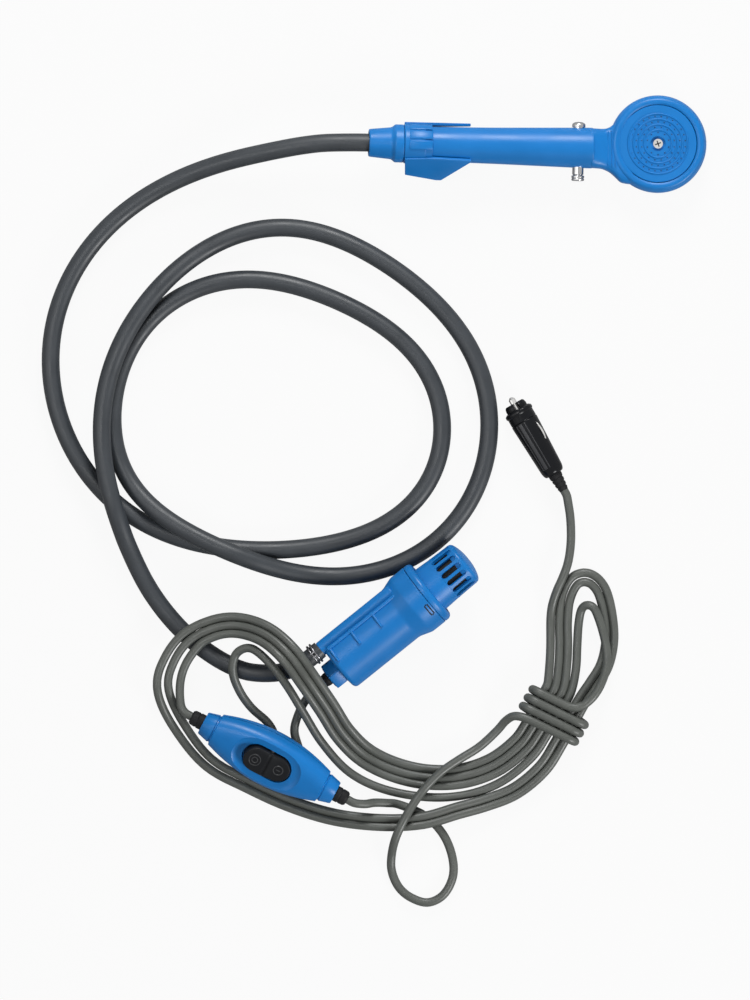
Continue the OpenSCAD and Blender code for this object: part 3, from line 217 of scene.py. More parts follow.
def loft(bm, place, sections):
    """A closed skin through rings of equal count, with a flat end at each side."""
    rows = [[bm.verts.new(place @ Vector(p)) for p in ring] for ring in sections]
    for low, high in zip(rows, rows[1:]):
        stitch(bm, low, high)
    bm.faces.new(list(reversed(rows[0])))
    bm.faces.new(rows[-1])


def superellipse(x, half_w, low, high, power, middle, count=96):
    ring = []
    centre = (low + high) / 2
    half_h = (high - low) / 2
    for k in range(count):
        a = 2 * math.pi * k / count
        c = math.cos(a)
        s = math.sin(a)
        y = half_w * math.copysign(abs(c) ** (2 / power), c)
        z = half_h * math.copysign(abs(s) ** (2 / power), s)
        ring.append((x, middle + y, centre + z))
    return ring


def block(bm, place, low, high, ease=0.0, segments=3):
    """A box between two corners with eased edges."""
    made = bmesh.ops.create_cube(bm, size=1.0)
    size = Vector(high) - Vector(low)
    centre = (Vector(high) + Vector(low)) / 2
    fit = place @ Matrix.Translation(centre) @ Matrix.Diagonal(size.to_4d())
    bmesh.ops.transform(bm, matrix=fit, verts=made["verts"])
    if ease > 0:
        edges = list({e for v in made["verts"] for e in v.link_edges})
        bmesh.ops.bevel(bm, geom=edges, offset=ease * MM, segments=segments, profile=0.5, affect="EDGES")


def slab(bm, place, outline, low, high, ease=0.0):
    """A plate of a flat outline between two heights, with eased edges."""
    base = [bm.verts.new(place @ Vector((x, y, low))) for x, y in outline]
    top = [bm.verts.new(place @ Vector((x, y, high))) for x, y in outline]
    count = len(outline)
    faces = [bm.faces.new(list(reversed(base))), bm.faces.new(top)]
    for k in range(count):
        n = (k + 1) % count
        faces.append(bm.faces.new((base[k], base[n], top[n], top[k])))
    if ease > 0:
        edges = list({e for f in faces for e in f.edges})
        bmesh.ops.bevel(bm, geom=edges, offset=ease * MM, segments=3, profile=0.5, affect="EDGES")


def new_mesh(name, bm):
    """A form made a mesh, with its faces outward."""
    bmesh.ops.recalc_face_normals(bm, faces=bm.faces)
    mesh = bpy.data.meshes.new(name)
    bm.to_mesh(mesh)
    bm.free()
    return mesh


def linked(name, data):
    obj = bpy.data.objects.new(name, data)
    bpy.context.scene.collection.objects.link(obj)
    return obj


def carved(bm, tool):
    """Takes the second closed form out of the first and gives back what is left."""
    objects = [linked(name, new_mesh(name, form)) for name, form in (("Form", bm), ("Tool", tool))]
    cut = objects[0].modifiers.new("Cut", "BOOLEAN")
    cut.operation = "DIFFERENCE"
    cut.solver = "EXACT"
    cut.object = objects[1]
    made = objects[0].evaluated_get(bpy.context.evaluated_depsgraph_get())
    left = bmesh.new()
    left.from_mesh(made.to_mesh())
    made.to_mesh_clear()
    for obj in objects:
        mesh = obj.data
        bpy.data.objects.remove(obj)
        bpy.data.meshes.remove(mesh)
    return left


def finished(name, bm, key, body, stands_for=(), sharp=40.0):
    """A form made a visible piece."""
    bmesh.ops.remove_doubles(bm, verts=bm.verts, dist=1e-7)
    shown(name, new_mesh(name, bm), key, body, stands_for, sharp)


def shown(name, mesh, key, body, stands_for=(), sharp=40.0):
    """A mesh made a visible piece, with a finish, on a body and in place of CAD nodes."""
    mesh.shade_smooth()
    mesh.set_sharp_from_angle(angle=math.radians(sharp))
    mesh.materials.clear()
    mesh.materials.append(finish(key))
    obj = linked(name, mesh)
    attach(obj, body)
    if stands_for:
        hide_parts(*stands_for)


def turned(name, place, corners, key, body, stands_for, axis="x", sides=72):
    """A piece that is one turned body."""
    bm = bmesh.new()
    turn(bm, place, corners, axis, sides)
    finished(name, bm, key, body, stands_for)


# Routes of the hose and the cable, in millimetres


def smooth(points, steps):
    """A smooth curve through points, with some steps to each span."""
    curve = []
    last = len(points) - 1
    for i in range(last):
        a, b, c, d = (points[max(i - 1, 0)], points[i], points[i + 1], points[min(i + 2, last)])
        for j in range(steps):
            curve.append(between(a, b, c, d, j / steps))
    curve.append(list(points[last]))
    return curve


def between(a, b, c, d, t):
    return [
        0.5 * (2 * q + (r - p) * t + (2 * p - 5 * q + 4 * r - s) * t * t + (3 * q - p - 3 * r + s) * t ** 3)
        for p, q, r, s in zip(a, b, c, d)
    ]


def spot(place, along, across=0.0, up=0.0):
    return list((place @ Vector((along, across, up))) / MM)


HOSE_ROUTE = [
    spot(HANDLE, HOSE_START), spot(HANDLE, HOSE_START - BARB_LEN - 2), (-140, 186, 26), (-172, 181, 22),
    (-205, 174, 16), (-238, 162, 10), (-270, 146, 7), (-300, 121, 7), (-325, 86, 7), (-338, 48, 7),
    (-339, 10, 7), (-330, -28, 7), (-311, -61, 7), (-286, -87, 7), (-255, -104, 7), (-221, -114, 7),
    (-184, -117, 7), (-146, -115, 7), (-109, -106, 7), (-75, -88, 7), (-54, -58, 7), (-48, -24, 7),
    (-56, 10, 7), (-79, 40, 7), (-112, 61, 7), (-150, 77, 7), (-187, 85, 7), (-225, 79, 7),
    (-256, 63, 7), (-279, 36, 7), (-290, 4, 7), (-293, -28, 7), (-286, -58, 8), (-270, -80, 13),
    (-249, -96, 19), (-224, -110, 21.5), (-197, -122, 21.5), (-167, -132, 13), (-135, -137, 7),
    (-101, -134, 7), (-69, -122, 7), (-41, -100, 7), (-21, -68, 7), (-13, -31, 7), (-16, 6, 7),
    (-31, 40, 7), (-56, 70, 7), (-88, 95, 7), (-124, 114, 7), (-161, 124, 7), (-199, 118, 7),
    (-232, 102, 9), (-259, 77, 16), (-281, 47, 21.5), (-296, 13, 21.5), (-301, -24, 21.5),
    (-299, -58, 21.5), (-292, -88, 21.5), (-281, -118, 13), (-266, -148, 7.5), (-246, -174, 7),
    (-223, -194, 7), (-199, -207, 9), (-178, -210, 15),
    spot(PUMP, RAIL_END - BARB_LEN - 4, RAIL_Y, RAIL_Z), spot(PUMP, RAIL_END, RAIL_Y, RAIL_Z),
]

WRAP_MIDDLE = Vector((37.6, -239.4, 10))
WRAP_ACROSS = Vector((0.866, -0.5, 0)).normalized()
WRAP_ALONG = Vector((-0.5, -0.866, 0)).normalized()
WRAP_FLAT = 17.0
WRAP_HALF_H = 7.0
WRAP_PITCH = 7.2
WRAP_FIRST = -9.0
WRAP_ROUND = 4 * WRAP_FLAT + 2 * math.pi * WRAP_HALF_H
WRAP_LEAD_IN = WRAP_FLAT - 10
WRAP_TURNS = 3.2
WRAP_STEPS = 160


def wrap_point(u):
    """A point of the turns round the hank's waist, after u turns."""
    s = (u * WRAP_ROUND + WRAP_LEAD_IN) % WRAP_ROUND
    flat = 2 * WRAP_FLAT
    bend = math.pi * WRAP_HALF_H
    if s < flat:
        across, up = WRAP_FLAT - s, WRAP_HALF_H
    elif s < flat + bend:
        a = (s - flat) / WRAP_HALF_H
        across, up = -WRAP_FLAT - WRAP_HALF_H * math.sin(a), WRAP_HALF_H * math.cos(a)
    elif s < 2 * flat + bend:
        across, up = s - flat - bend - WRAP_FLAT, -WRAP_HALF_H
    else:
        a = (s - 2 * flat - bend) / WRAP_HALF_H
        across, up = WRAP_FLAT + WRAP_HALF_H * math.sin(a), -WRAP_HALF_H * math.cos(a)
    section = WRAP_MIDDLE + WRAP_ACROSS * across + Vector((0, 0, up))
    return list(section + WRAP_ALONG * (WRAP_FIRST + WRAP_PITCH * u))


LEAD_ROUTE = [
    spot(GLAND, GROMMET_END), spot(GLAND, GROMMET_END - 3), spot(GLAND, GROMMET_END - 6),
    (-144, -224, 14), (-150, -231, 10), (-155, -241, 5.5), (-158, -253, 3.2), (-155, -265, 3),
    (-151, -276, 3), (-154, -287, 3), (-164, -292, 3), (-174, -288, 3), (-178, -278, 3), (-175, -267, 3),
    (-173, -257, 3), (-178, -247, 3.4), (-190, -236, 5.5), (-199, -223, 11), (-204, -208, 19),
    (-201, -195, 22), (-190, -191, 27), (-176, -202, 34), (-163, -219, 35), (-151, -239, 26),
    (-137, -262, 14), (-117, -284, 5), (-91, -297, 3.2), (-58, -303, 3.2), (-28, -301, 3.2),
    (-2, -291, 4), (20, -273, 7.5), (31, -257, 9.8), (40, -241, 10), (49, -225, 9.8), (53, -207, 7),
    (54, -190, 4.5), (55, -174, 3.6), (57, -163, 5.5), (61.5, -157, 9.5), (67, -162, 10.6),
    (72, -175, 10.6), (75.5, -190, 10.8), (76, -204, 12.4), (72, -217, 15.4), (66, -227, 17.4),
    (58, -234, 17.3), wrap_point(0),
]

DROP_ROUTE = [
    wrap_point(WRAP_TURNS), (13, -242, 16.5), (6, -242, 13), (0, -246, 8.5), (-6, -253, 5),
    (-19, -265, 4.5), (-35, -275, 8), (-48, -284, 10), (-60, -296, 10), (-69, -308, 14), (-76, -320, 17),
    (-82, -333, 15), (-85, -346, 7), (-85, -358, 3.6), (-80, -370, 3.2), (-71, -378, 3.2),
    (-58, -382, 3.2), (-46, -376, 3.2), (-39, -362, 3.2), (-40, -346, 3.2), (-47, -330, 3.2),
    (-60, -317, 3.2), (-79, -308.6, 4.6), (-89, -307.2, 8), (-98, -306.8, 13), (-105, -307.6, 18),
    spot(SWITCH, RELIEF_END + 6), spot(SWITCH, RELIEF_END + 3), spot(SWITCH, RELIEF_END),
]

HANK_COURSE = [
    (-243.5, -221, 16.5, 8.4), (-241.5, -206, 17, 7.6), (-232, -191, 19, 6.8), (-215, -182, 20, 6.3),
    (-199, -181, 24, 6.3), (-182, -187, 34, 6.3), (-167, -200, 43.5, 6.3), (-154, -218, 42, 6.3),
    (-140, -239, 29.5, 6.3), (-127, -260, 15, 6.3), (-109, -278, 5, 6.3), (-85, -290, 3.2, 6.3),
    (-58, -296, 3.2, 6.3), (-30, -295, 3.2, 6.3), (-4, -286, 4, 6.3), (17, -270, 7.5, 6.3),
    (28, -255, 9.8, 6.3), (37, -239, 10, 6.3), (46, -223, 9.8, 6.3), (49, -205, 7, 6.3),
    (50, -188, 4.5, 6.3), (50, -172, 3.2, 6.3), (52, -156, 3.2, 6.6), (58, -145.5, 3.2, 7),
    (65.5, -150, 3.2, 6.6), (70, -165, 3.2, 6.4), (71.5, -184, 3.2, 6.4), (68, -201, 5, 6.4),
    (60, -214, 8, 6.4), (51, -227, 9.8, 6.4), (42, -243, 10, 6.4), (33, -259, 9.8, 6.4),
    (22, -276, 7.5, 6.4), (4, -291, 4.5, 6.4), (-16, -299, 5, 6.4), (-38, -305, 7.5, 6.4),
    (-64, -312, 9.8, 6.4), (-94, -313, 9.6, 6.4), (-127, -309, 6, 6.4), (-159, -299, 3.6, 6.4),
    (-189, -285, 3.2, 6.5), (-216, -269, 3.2, 7), (-234.5, -243, 6, 8),
]
HANK_LOOPS = 2.48
HANK_STEPS = 640
LEAST_BEND = 6.6
LEAST_HOSE_BEND = 34.0
FAIR_STEP = 16.0
FAIR_IN = 0.5
FAIR_OUT = -0.515
STEADY_START = 6
STEADY_END = 13


def hank_course_at(u):
    count = len(HANK_COURSE)
    f = (u - math.floor(u)) * count
    i = int(math.floor(f))
    a, b, c, d = (HANK_COURSE[(i + k) % count] for k in (-1, 0, 1, 2))
    return between(a, b, c, d, f - i)


def hank_point(u):
    """A point of the hank after u loops, stepped outwards from the course."""
    here = hank_course_at(u)
    ahead = hank_course_at(u + 0.002)
    behind = hank_course_at(u - 0.002)
    outward = Vector((behind[1] - ahead[1], ahead[0] - behind[0], 0)).normalized()
    return list(Vector(here[:3]) + outward * here[3] * u)


TAIL_ROUTE = [
    spot(SWITCH, -RELIEF_END), spot(SWITCH, -RELIEF_END - 2), spot(SWITCH, -RELIEF_END - 4),
    (-241.6, -236.4, 20.8), (-243.4, -229.5, 18.8), hank_point(0),
]
PLUG_LEAD_ROUTE = [
    hank_point(HANK_LOOPS), (33.2, -166, 3.4), (35, -157, 5.8), (38.7, -148, 8.8), (42.8, -139, 9.8),
    (46.2, -130, 9.6), (48.2, -121, 9.2), (49.2, -111, 8.8), (49.2, -101, 8.8), (48.6, -92, 9.4),
    (47.4, -84, 10.1), spot(PLUG, PLUG_LEAD_START + 4), spot(PLUG, PLUG_LEAD_START + 2),
    spot(PLUG, PLUG_LEAD_START),
]


def joined(*paths):
    line = list(paths[0])
    for path in paths[1:]:
        line.extend(path[1:])
    return line


def eased(points, middle, reach, passes=30):
    """The same line with the corner near one of its points worn down to a bend."""
    line = [Vector(p) for p in points]
    for _ in range(passes):
        before = list(line)
        for i in range(middle - reach, middle + reach + 1):
            line[i] = before[i] / 2 + (before[i - 1] + before[i + 1]) / 4
    return [list(p) for p in line]


def spaced(points, step):
    """Points at even steps along a line, with its two ends kept."""
    line = [Vector(points[0])]
    left = step
    for a, b in zip(points, points[1:]):
        here, there = Vector(a), Vector(b)
        while (there - here).length >= left:
            here = here + (there - here).normalized() * left
            line.append(here)
            left = step
        left -= (there - here).length
    line[-1] = Vector(points[-1])
    return line


def unkinked(points, least, step=2.0, passes=600):
    """The same line at even steps, with each bend tighter than the least radius opened out."""
    line = spaced(points, step)
    for _ in range(passes):
        before = list(line)
        tight = [
            i for i in range(1, len(line) - 1)
            if (before[i] - before[i - 1]).angle(before[i + 1] - before[i]) > step / least
        ]
        if not tight:
            break
        for i in tight:
            line[i] = before[i] / 2 + (before[i - 1] + before[i + 1]) / 4
    return [list(p) for p in line]


def faired(points, passes=50):
    """The same line with its small waves in plan taken out, its heights and both ends kept."""
    line = spaced(points, FAIR_STEP)
    steady = len(line) - STEADY_END
    for _ in range(passes):
        for share in (FAIR_IN, FAIR_OUT):
            before = [p.copy() for p in line]
            for i in range(STEADY_START, steady):
                line[i].xy += ((before[i - 1] + before[i + 1]) / 2 - before[i]).xy * share
    end = spaced(points, FAIR_STEP / 4)[4 * steady + 1:]
    return smooth([list(p) for p in line[:steady + 1]], 4) + [list(p) for p in end]


def tube(name, points, diameter, key, stands_for):
    """A cord as one open curve with a round section."""
    curve = bpy.data.curves.new(name, "CURVE")
    curve.dimensions = "3D"
    curve.bevel_depth = diameter / 2
    curve.bevel_resolution = 6
    curve.use_fill_caps = True
    spline = curve.splines.new("POLY")
    spline.points.add(len(points) - 1)
    for point, p in zip(spline.points, points):
        point.co = (p[0] * MM, p[1] * MM, p[2] * MM, 1)
    spline.use_smooth = True
    curve.materials.append(finish(key))
    obj = linked(name, curve)
    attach(obj, "set")
    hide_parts(*stands_for)
    return obj


# Finishes


class Finish(NamedTuple):
    """A moulded finish; its colour is a colour, or a setting's name with the share of it to take."""

    name: str
    colour: object
    flow_shade: float
    grain_scale: float
    gloss: tuple
    bump: float
    specular: float = 0.5
    flow_scale: float = 45.0
    metallic: float = 0.0
    share: float = 1.0
    clear: float = 0.0


GRAIN_DEPTH = 0.0002
WHITE = (1, 1, 1, 1)
FINISHES = {
    "blue": Finish("Blue moulding", "blue", 0.16, 2400, (0.3, 0.42), 0.1, 0.3),
    # A darker share of the housing blue: painted shade, for the bottoms of the spray holes and the seal plate
    # inside the pump.
    "blue_painted_shade": Finish("Blue moulding inside", "blue", 0.2, 2400, (0.45, 0.6), 0.15, 0.4, share=0.35),
    "black": Finish("Black moulding", "black", 0.5, 1800, (0.4, 0.55), 0.25, 0.16),
    "black_gloss": Finish("Black gloss moulding", (0.004, 0.0045, 0.006), 0.5, 1500, (0.16, 0.3), 0.08, 0.2),
    # Rougher than the gloss, with a lighter colour that is painted highlight on the plug's ribs and the
    # rocker's raised marks.
    "black_satin": Finish("Black satin moulding", (0.022, 0.023, 0.026), 0.4, 1500, (0.34, 0.48), 0.15),
    "rubber": Finish("Black rubber", (0.009, 0.009, 0.01), 0.5, 1600, (0.55, 0.7), 0.3, 0.2),
    "hose": Finish("Hose vinyl", "hose", 0.35, 900, (0.36, 0.52), 0.16, 0.45, 60),
    "cable": Finish("Cable vinyl", "cable", 0.35, 1200, (0.34, 0.5), 0.14, 0.45, 80),
    "bright_metal": Finish("Bright nickel", (0.5, 0.5, 0.5), 0.3, 700, (0.12, 0.24), 0.03, 0.5, 120, 1.0),
    "clamp_steel": Finish("Clamp steel", (0.2, 0.2, 0.21), 0.3, 700, (0.2, 0.34), 0.03, 0.5, 120, 1.0),
    "polished_metal": Finish(
        "Polished nickel", (0.88, 0.87, 0.85), 0.2, 700, (0.08, 0.18), 0.03, 0.5, 120, 1.0
    ),
    "plated_steel": Finish("Plated steel", (0.56, 0.57, 0.59), 0.3, 900, (0.24, 0.4), 0.06, 0.5, 150, 1.0),
    "copper": Finish("Copper strip", (0.72, 0.38, 0.2), 0.3, 900, (0.3, 0.45), 0.05, 0.5, 150, 1.0),
    "dark_iron": Finish("Dark iron", (0.06, 0.06, 0.065), 0.4, 900, (0.5, 0.65), 0.2, 0.5, 150, 0.6),
    "fuse_glass": Finish("Fuse glass", (0.85, 0.88, 0.86), 0.05, 900, (0.04, 0.1), 0.02, clear=0.9),
}


def feed(tree, node, inputs):
    """Sets a node's inputs to values, or joins them to the outputs of other nodes."""
    for name, value in inputs.items():
        if isinstance(value, bpy.types.NodeSocket):
            tree.links.new(value, node.inputs[name])
        else:
            node.inputs[name].default_value = value


def wired(tree, kind, at, inputs=None, operation=None):
    """A new node with its inputs fed."""
    node = tree.nodes.new(kind)
    node.location = at
    if operation:
        node.operation = operation
    feed(tree, node, inputs or {})
    return node


def socket(group, side, name, kind, default=None):
    made = group.interface.new_socket(name=name, in_out=side, socket_type="NodeSocket" + kind)
    if default is not None:
        made.default_value = default


def moulded_skin():
    """Shared effect: a moulded surface's fine grain, faint flow marks and uneven gloss."""
    group = bpy.data.node_groups.get("Moulded skin")
    if group:
        return group
    group = bpy.data.node_groups.new("Moulded skin", "ShaderNodeTree")
    for name, kind, default in (
        ("Colour", "Color", (0.5, 0.5, 0.5, 1)), ("Flow shade", "Float", 0.1), ("Flow scale", "Float", 45.0),
        ("Grain scale", "Float", 2200.0), ("Gloss low", "Float", 0.35), ("Gloss high", "Float", 0.5),
    ):
        socket(group, "INPUT", name, kind, default)
    for name, kind in (("Color", "Color"), ("Roughness", "Float"), ("Height", "Float")):
        socket(group, "OUTPUT", name, kind)
    given = wired(group, "NodeGroupInput", (-900, 0)).outputs
    where = wired(group, "ShaderNodeTexCoord", (-900, -320)).outputs["Object"]
    flow = wired(group, "ShaderNodeTexNoise", (-600, 60), {
        "Vector": where, "Scale": given["Flow scale"], "Detail": 4,
    }).outputs["Fac"]
    grain = wired(group, "ShaderNodeTexNoise", (-600, -260), {
        "Vector": where, "Scale": given["Grain scale"], "Detail": 2,
    }).outputs["Fac"]
    spread = wired(group, "ShaderNodeMath", (-380, 120), {0: flow, 1: 0.5}, "SUBTRACT")
    weight = wired(group, "ShaderNodeMath", (-220, 120), {
        0: spread.outputs[0], 1: given["Flow shade"], 2: 1.0,
    }, "MULTIPLY_ADD")
    tint = wired(group, "ShaderNodeHueSaturation", (60, 160), {
        "Value": weight.outputs[0], "Color": given["Colour"],
    })
    gloss = wired(group, "ShaderNodeMapRange", (60, -60), {
        "Value": flow, "From Min": 0.3, "From Max": 0.7, "To Min": given["Gloss low"],
        "To Max": given["Gloss high"],
    })
    wired(group, "NodeGroupOutput", (500, 0), {
        "Color": tint.outputs["Color"], "Roughness": gloss.outputs["Result"], "Height": grain,
    })
    return group


def finish(key):
    """The material of one of the finishes, made at its first use."""
    look = FINISHES[key]
    material = bpy.data.materials.get(look.name)
    if material:
        return material
    colour = look.colour
    if isinstance(colour, str):
        colour = [c * look.share for c in getattr(bpy.context.scene.shower_set, colour)]
    material = bpy.data.materials.new(look.name)
    material.use_nodes = True
    tree = material.node_tree
    skin = tree.nodes.new("ShaderNodeGroup")
    skin.node_tree = moulded_skin()
    skin.location = (-520, 100)
    feed(tree, skin, {
        "Colour": (*colour, 1), "Flow shade": look.flow_shade, "Flow scale": look.flow_scale,
        "Grain scale": look.grain_scale, "Gloss low": look.gloss[0], "Gloss high": look.gloss[1],
    })
    relief = wired(tree, "ShaderNodeBump", (-220, -220), {
        "Strength": look.bump, "Distance": GRAIN_DEPTH, "Height": skin.outputs["Height"],
    })
    feed(tree, tree.nodes["Principled BSDF"], {
        "Specular IOR Level": look.specular, "Metallic": look.metallic, "Transmission Weight": look.clear,
        "Base Color": skin.outputs["Color"], "Roughness": skin.outputs["Roughness"],
        "Normal": relief.outputs["Normal"],
    })
    return material


def painted(finishes):
    """Gives CAD nodes their finishes."""
    for name, key in finishes.items():
        NODES[name].data.materials.clear()
        NODES[name].data.materials.append(finish(key))


# Repeats made with geometry nodes


def repeat_tree():
    """A node tree that sets a template at each point of a mesh, turned about Z by its place in the row."""
    tree = bpy.data.node_groups.get("Row of copies")
    if tree:
        return tree
    tree = bpy.data.node_groups.new("Row of copies", "GeometryNodeTree")
    for name, kind in (
        ("Geometry", "Geometry"), ("Template", "Object"), ("Turn", "Float"), ("First turn", "Float"),
        ("Finish", "Material"),
    ):
        socket(tree, "INPUT", name, kind)
    socket(tree, "OUTPUT", "Geometry", "Geometry")
    given = wired(tree, "NodeGroupInput", (-900, 0)).outputs
    info = wired(tree, "GeometryNodeObjectInfo", (-600, 200), {"Object": given["Template"]})
    order = wired(tree, "GeometryNodeInputIndex", (-900, -320))
    amount = wired(tree, "ShaderNodeMath", (-600, -120), {
        0: order.outputs["Index"], 1: given["Turn"], 2: given["First turn"],
    }, "MULTIPLY_ADD")
    pose = wired(tree, "ShaderNodeCombineXYZ", (-380, -120), {"Z": amount.outputs[0]})
    copies = wired(tree, "GeometryNodeInstanceOnPoints", (-160, 0), {
        "Points": given["Geometry"], "Instance": info.outputs["Geometry"], "Rotation": pose.outputs["Vector"],
    })
    solid = wired(tree, "GeometryNodeRealizeInstances", (60, 0), {"Geometry": copies.outputs["Instances"]})
    paint = wired(tree, "GeometryNodeSetMaterial", (280, 0), {
        "Geometry": solid.outputs["Geometry"], "Material": given["Finish"],
    })
    wired(tree, "NodeGroupOutput", (500, 0), {"Geometry": paint.outputs["Geometry"]})
    return tree


def repeated(name, form, points, turn_step, first_turn, place, key, body):
    """Copies of a form at points of a row, made a plain mesh and set in its place."""
    template = linked(name + "_template", new_mesh(name + "_template", form))
    seats = bpy.data.meshes.new(name + "_seats")
    seats.from_pydata(points, [], [])
    host = linked(name + "_seats", seats)
    tree = repeat_tree()
    modifier = host.modifiers.new("Row", "NODES")
    modifier.node_group = tree
    keys = {item.name: item.identifier for item in tree.interface.items_tree if item.in_out == "INPUT"}
    modifier[keys["Template"]] = template
    modifier[keys["Turn"]] = turn_step
    modifier[keys["First turn"]] = first_turn
    modifier[keys["Finish"]] = finish(key)
    graph = bpy.context.evaluated_depsgraph_get()
    mesh = bpy.data.meshes.new_from_object(host.evaluated_get(graph))
    host.modifiers.remove(modifier)
    for obj in (host, template):
        bpy.data.objects.remove(obj)
    if not mesh.polygons:
        raise RuntimeError(name + " came out empty")
    mesh.name = name
    mesh.transform(place)
    shown(name, mesh, key, body)


# Settings that a user would change


def tone(name, text, default):
    return FloatVectorProperty(name=name, description=text, subtype="COLOR", default=default)


def length(name, text, default):
    return FloatProperty(name=name, description=text, unit="LENGTH", default=default)


class ShowerSetLook(bpy.types.PropertyGroup):
    """Colours and sizes of the set"""

    blue: tone("Blue plastic", "Colour of the housings", (0.006, 0.168, 0.5))
    black: tone("Black plastic", "Colour of the rocker and the black inner parts", (0.006, 0.0068, 0.0085))
    hose: tone("Hose", "Colour of the hose", (0.03, 0.035, 0.041))
    cable: tone("Cable", "Colour of the cable", (0.082, 0.088, 0.08))
    hose_size: length("Hose diameter", "Outer diameter of the hose", 0.0135)
    cable_size: length("Cable diameter", "Diameter of the cable", 0.0065)
    slots: IntProperty(name="Strainer ribs", description="Ribs round the strainer cage", default=16)
    camera_height: length("Camera height", "Height of the camera over the floor", 6.0)


# The camera's sensor is in millimetres; the view's height and middle on the floor are in metres
SENSOR = 36
VIEW_SPAN = 0.75
VIEW_MIDDLE = (-0.0975, -0.08025)


class SHOWER_OT_camera(bpy.types.Operator):
    """Sets the camera straight above the set, as the photograph was taken"""

    bl_idname = "shower.camera"
    bl_label = "Camera"

    def execute(self, context):
        high = context.scene.shower_set.camera_height
        data = bpy.data.cameras.new("Overhead camera")
        data.sensor_width = SENSOR
        data.lens = SENSOR * high / VIEW_SPAN
        data.clip_end = 40
        camera = linked("Overhead camera", data)
        camera.location = (*VIEW_MIDDLE, high)
        context.scene.camera = camera
        return {"FINISHED"}


class SHOWER_OT_hose(bpy.types.Operator):
    """Lays the water hose from the shower head to the pump"""

    bl_idname = "shower.hose"
    bl_label = "Water hose"

    def execute(self, context):
        size = context.scene.shower_set.hose_size
        line = unkinked(faired(smooth(HOSE_ROUTE, 6)), LEAST_HOSE_BEND, 4.0)
        hose = tube("water_hose", line, size, "hose", ["hose"])
        return {"FINISHED"}


class SHOWER_OT_cable(bpy.types.Operator):
    """Lays the power cable: pump to switch, with the wraps, and switch to plug, with the hank"""

    bl_idname = "shower.cable"
    bl_label = "Power cable"

    SWITCH_PIECES = ("switch_top", "switch_base", "switch_rocker", "rocker_marks", "switch_boots")
    PLUG_PIECES = ("plug_body", "plug_ribs", "plug_crown", "plug_boot", "plug_blade_right", "plug_blade_left")

    def execute(self, context):
        size = context.scene.shower_set.cable_size
        turns = [wrap_point(WRAP_TURNS * i / WRAP_STEPS) for i in range(WRAP_STEPS + 1)]
        lead = smooth(LEAD_ROUTE, 6)
        first = joined(lead, turns, smooth(DROP_ROUTE, 6))
        first = eased(first, len(lead), reach=6, passes=12)
        first = unkinked(eased(first, len(lead) + len(turns), reach=8), LEAST_BEND)
        loops = [hank_point(HANK_LOOPS * i / HANK_STEPS) for i in range(HANK_STEPS + 1)]
        tail = smooth(TAIL_ROUTE, 8)
        second = joined(tail, loops, smooth(PLUG_LEAD_ROUTE, 6))
        second = eased(second, len(tail), reach=12)
        second = unkinked(eased(second, len(tail) + len(loops), reach=16, passes=60), LEAST_BEND)
        pump_cable = tube(
            "pump_cable", first, size, "cable", ["pump_lead", "cable_wraps", "drop_loop"]
        )
        plug_cable = tube(
            "plug_cable", second, size, "cable", ["switch_tail", "cable_hank", "plug_lead"]
        )
        on_plug = [bpy.data.objects[n] for n in self.PLUG_PIECES]
        on_plug.append(NODES["plug_tip"])
        return {"FINISHED"}


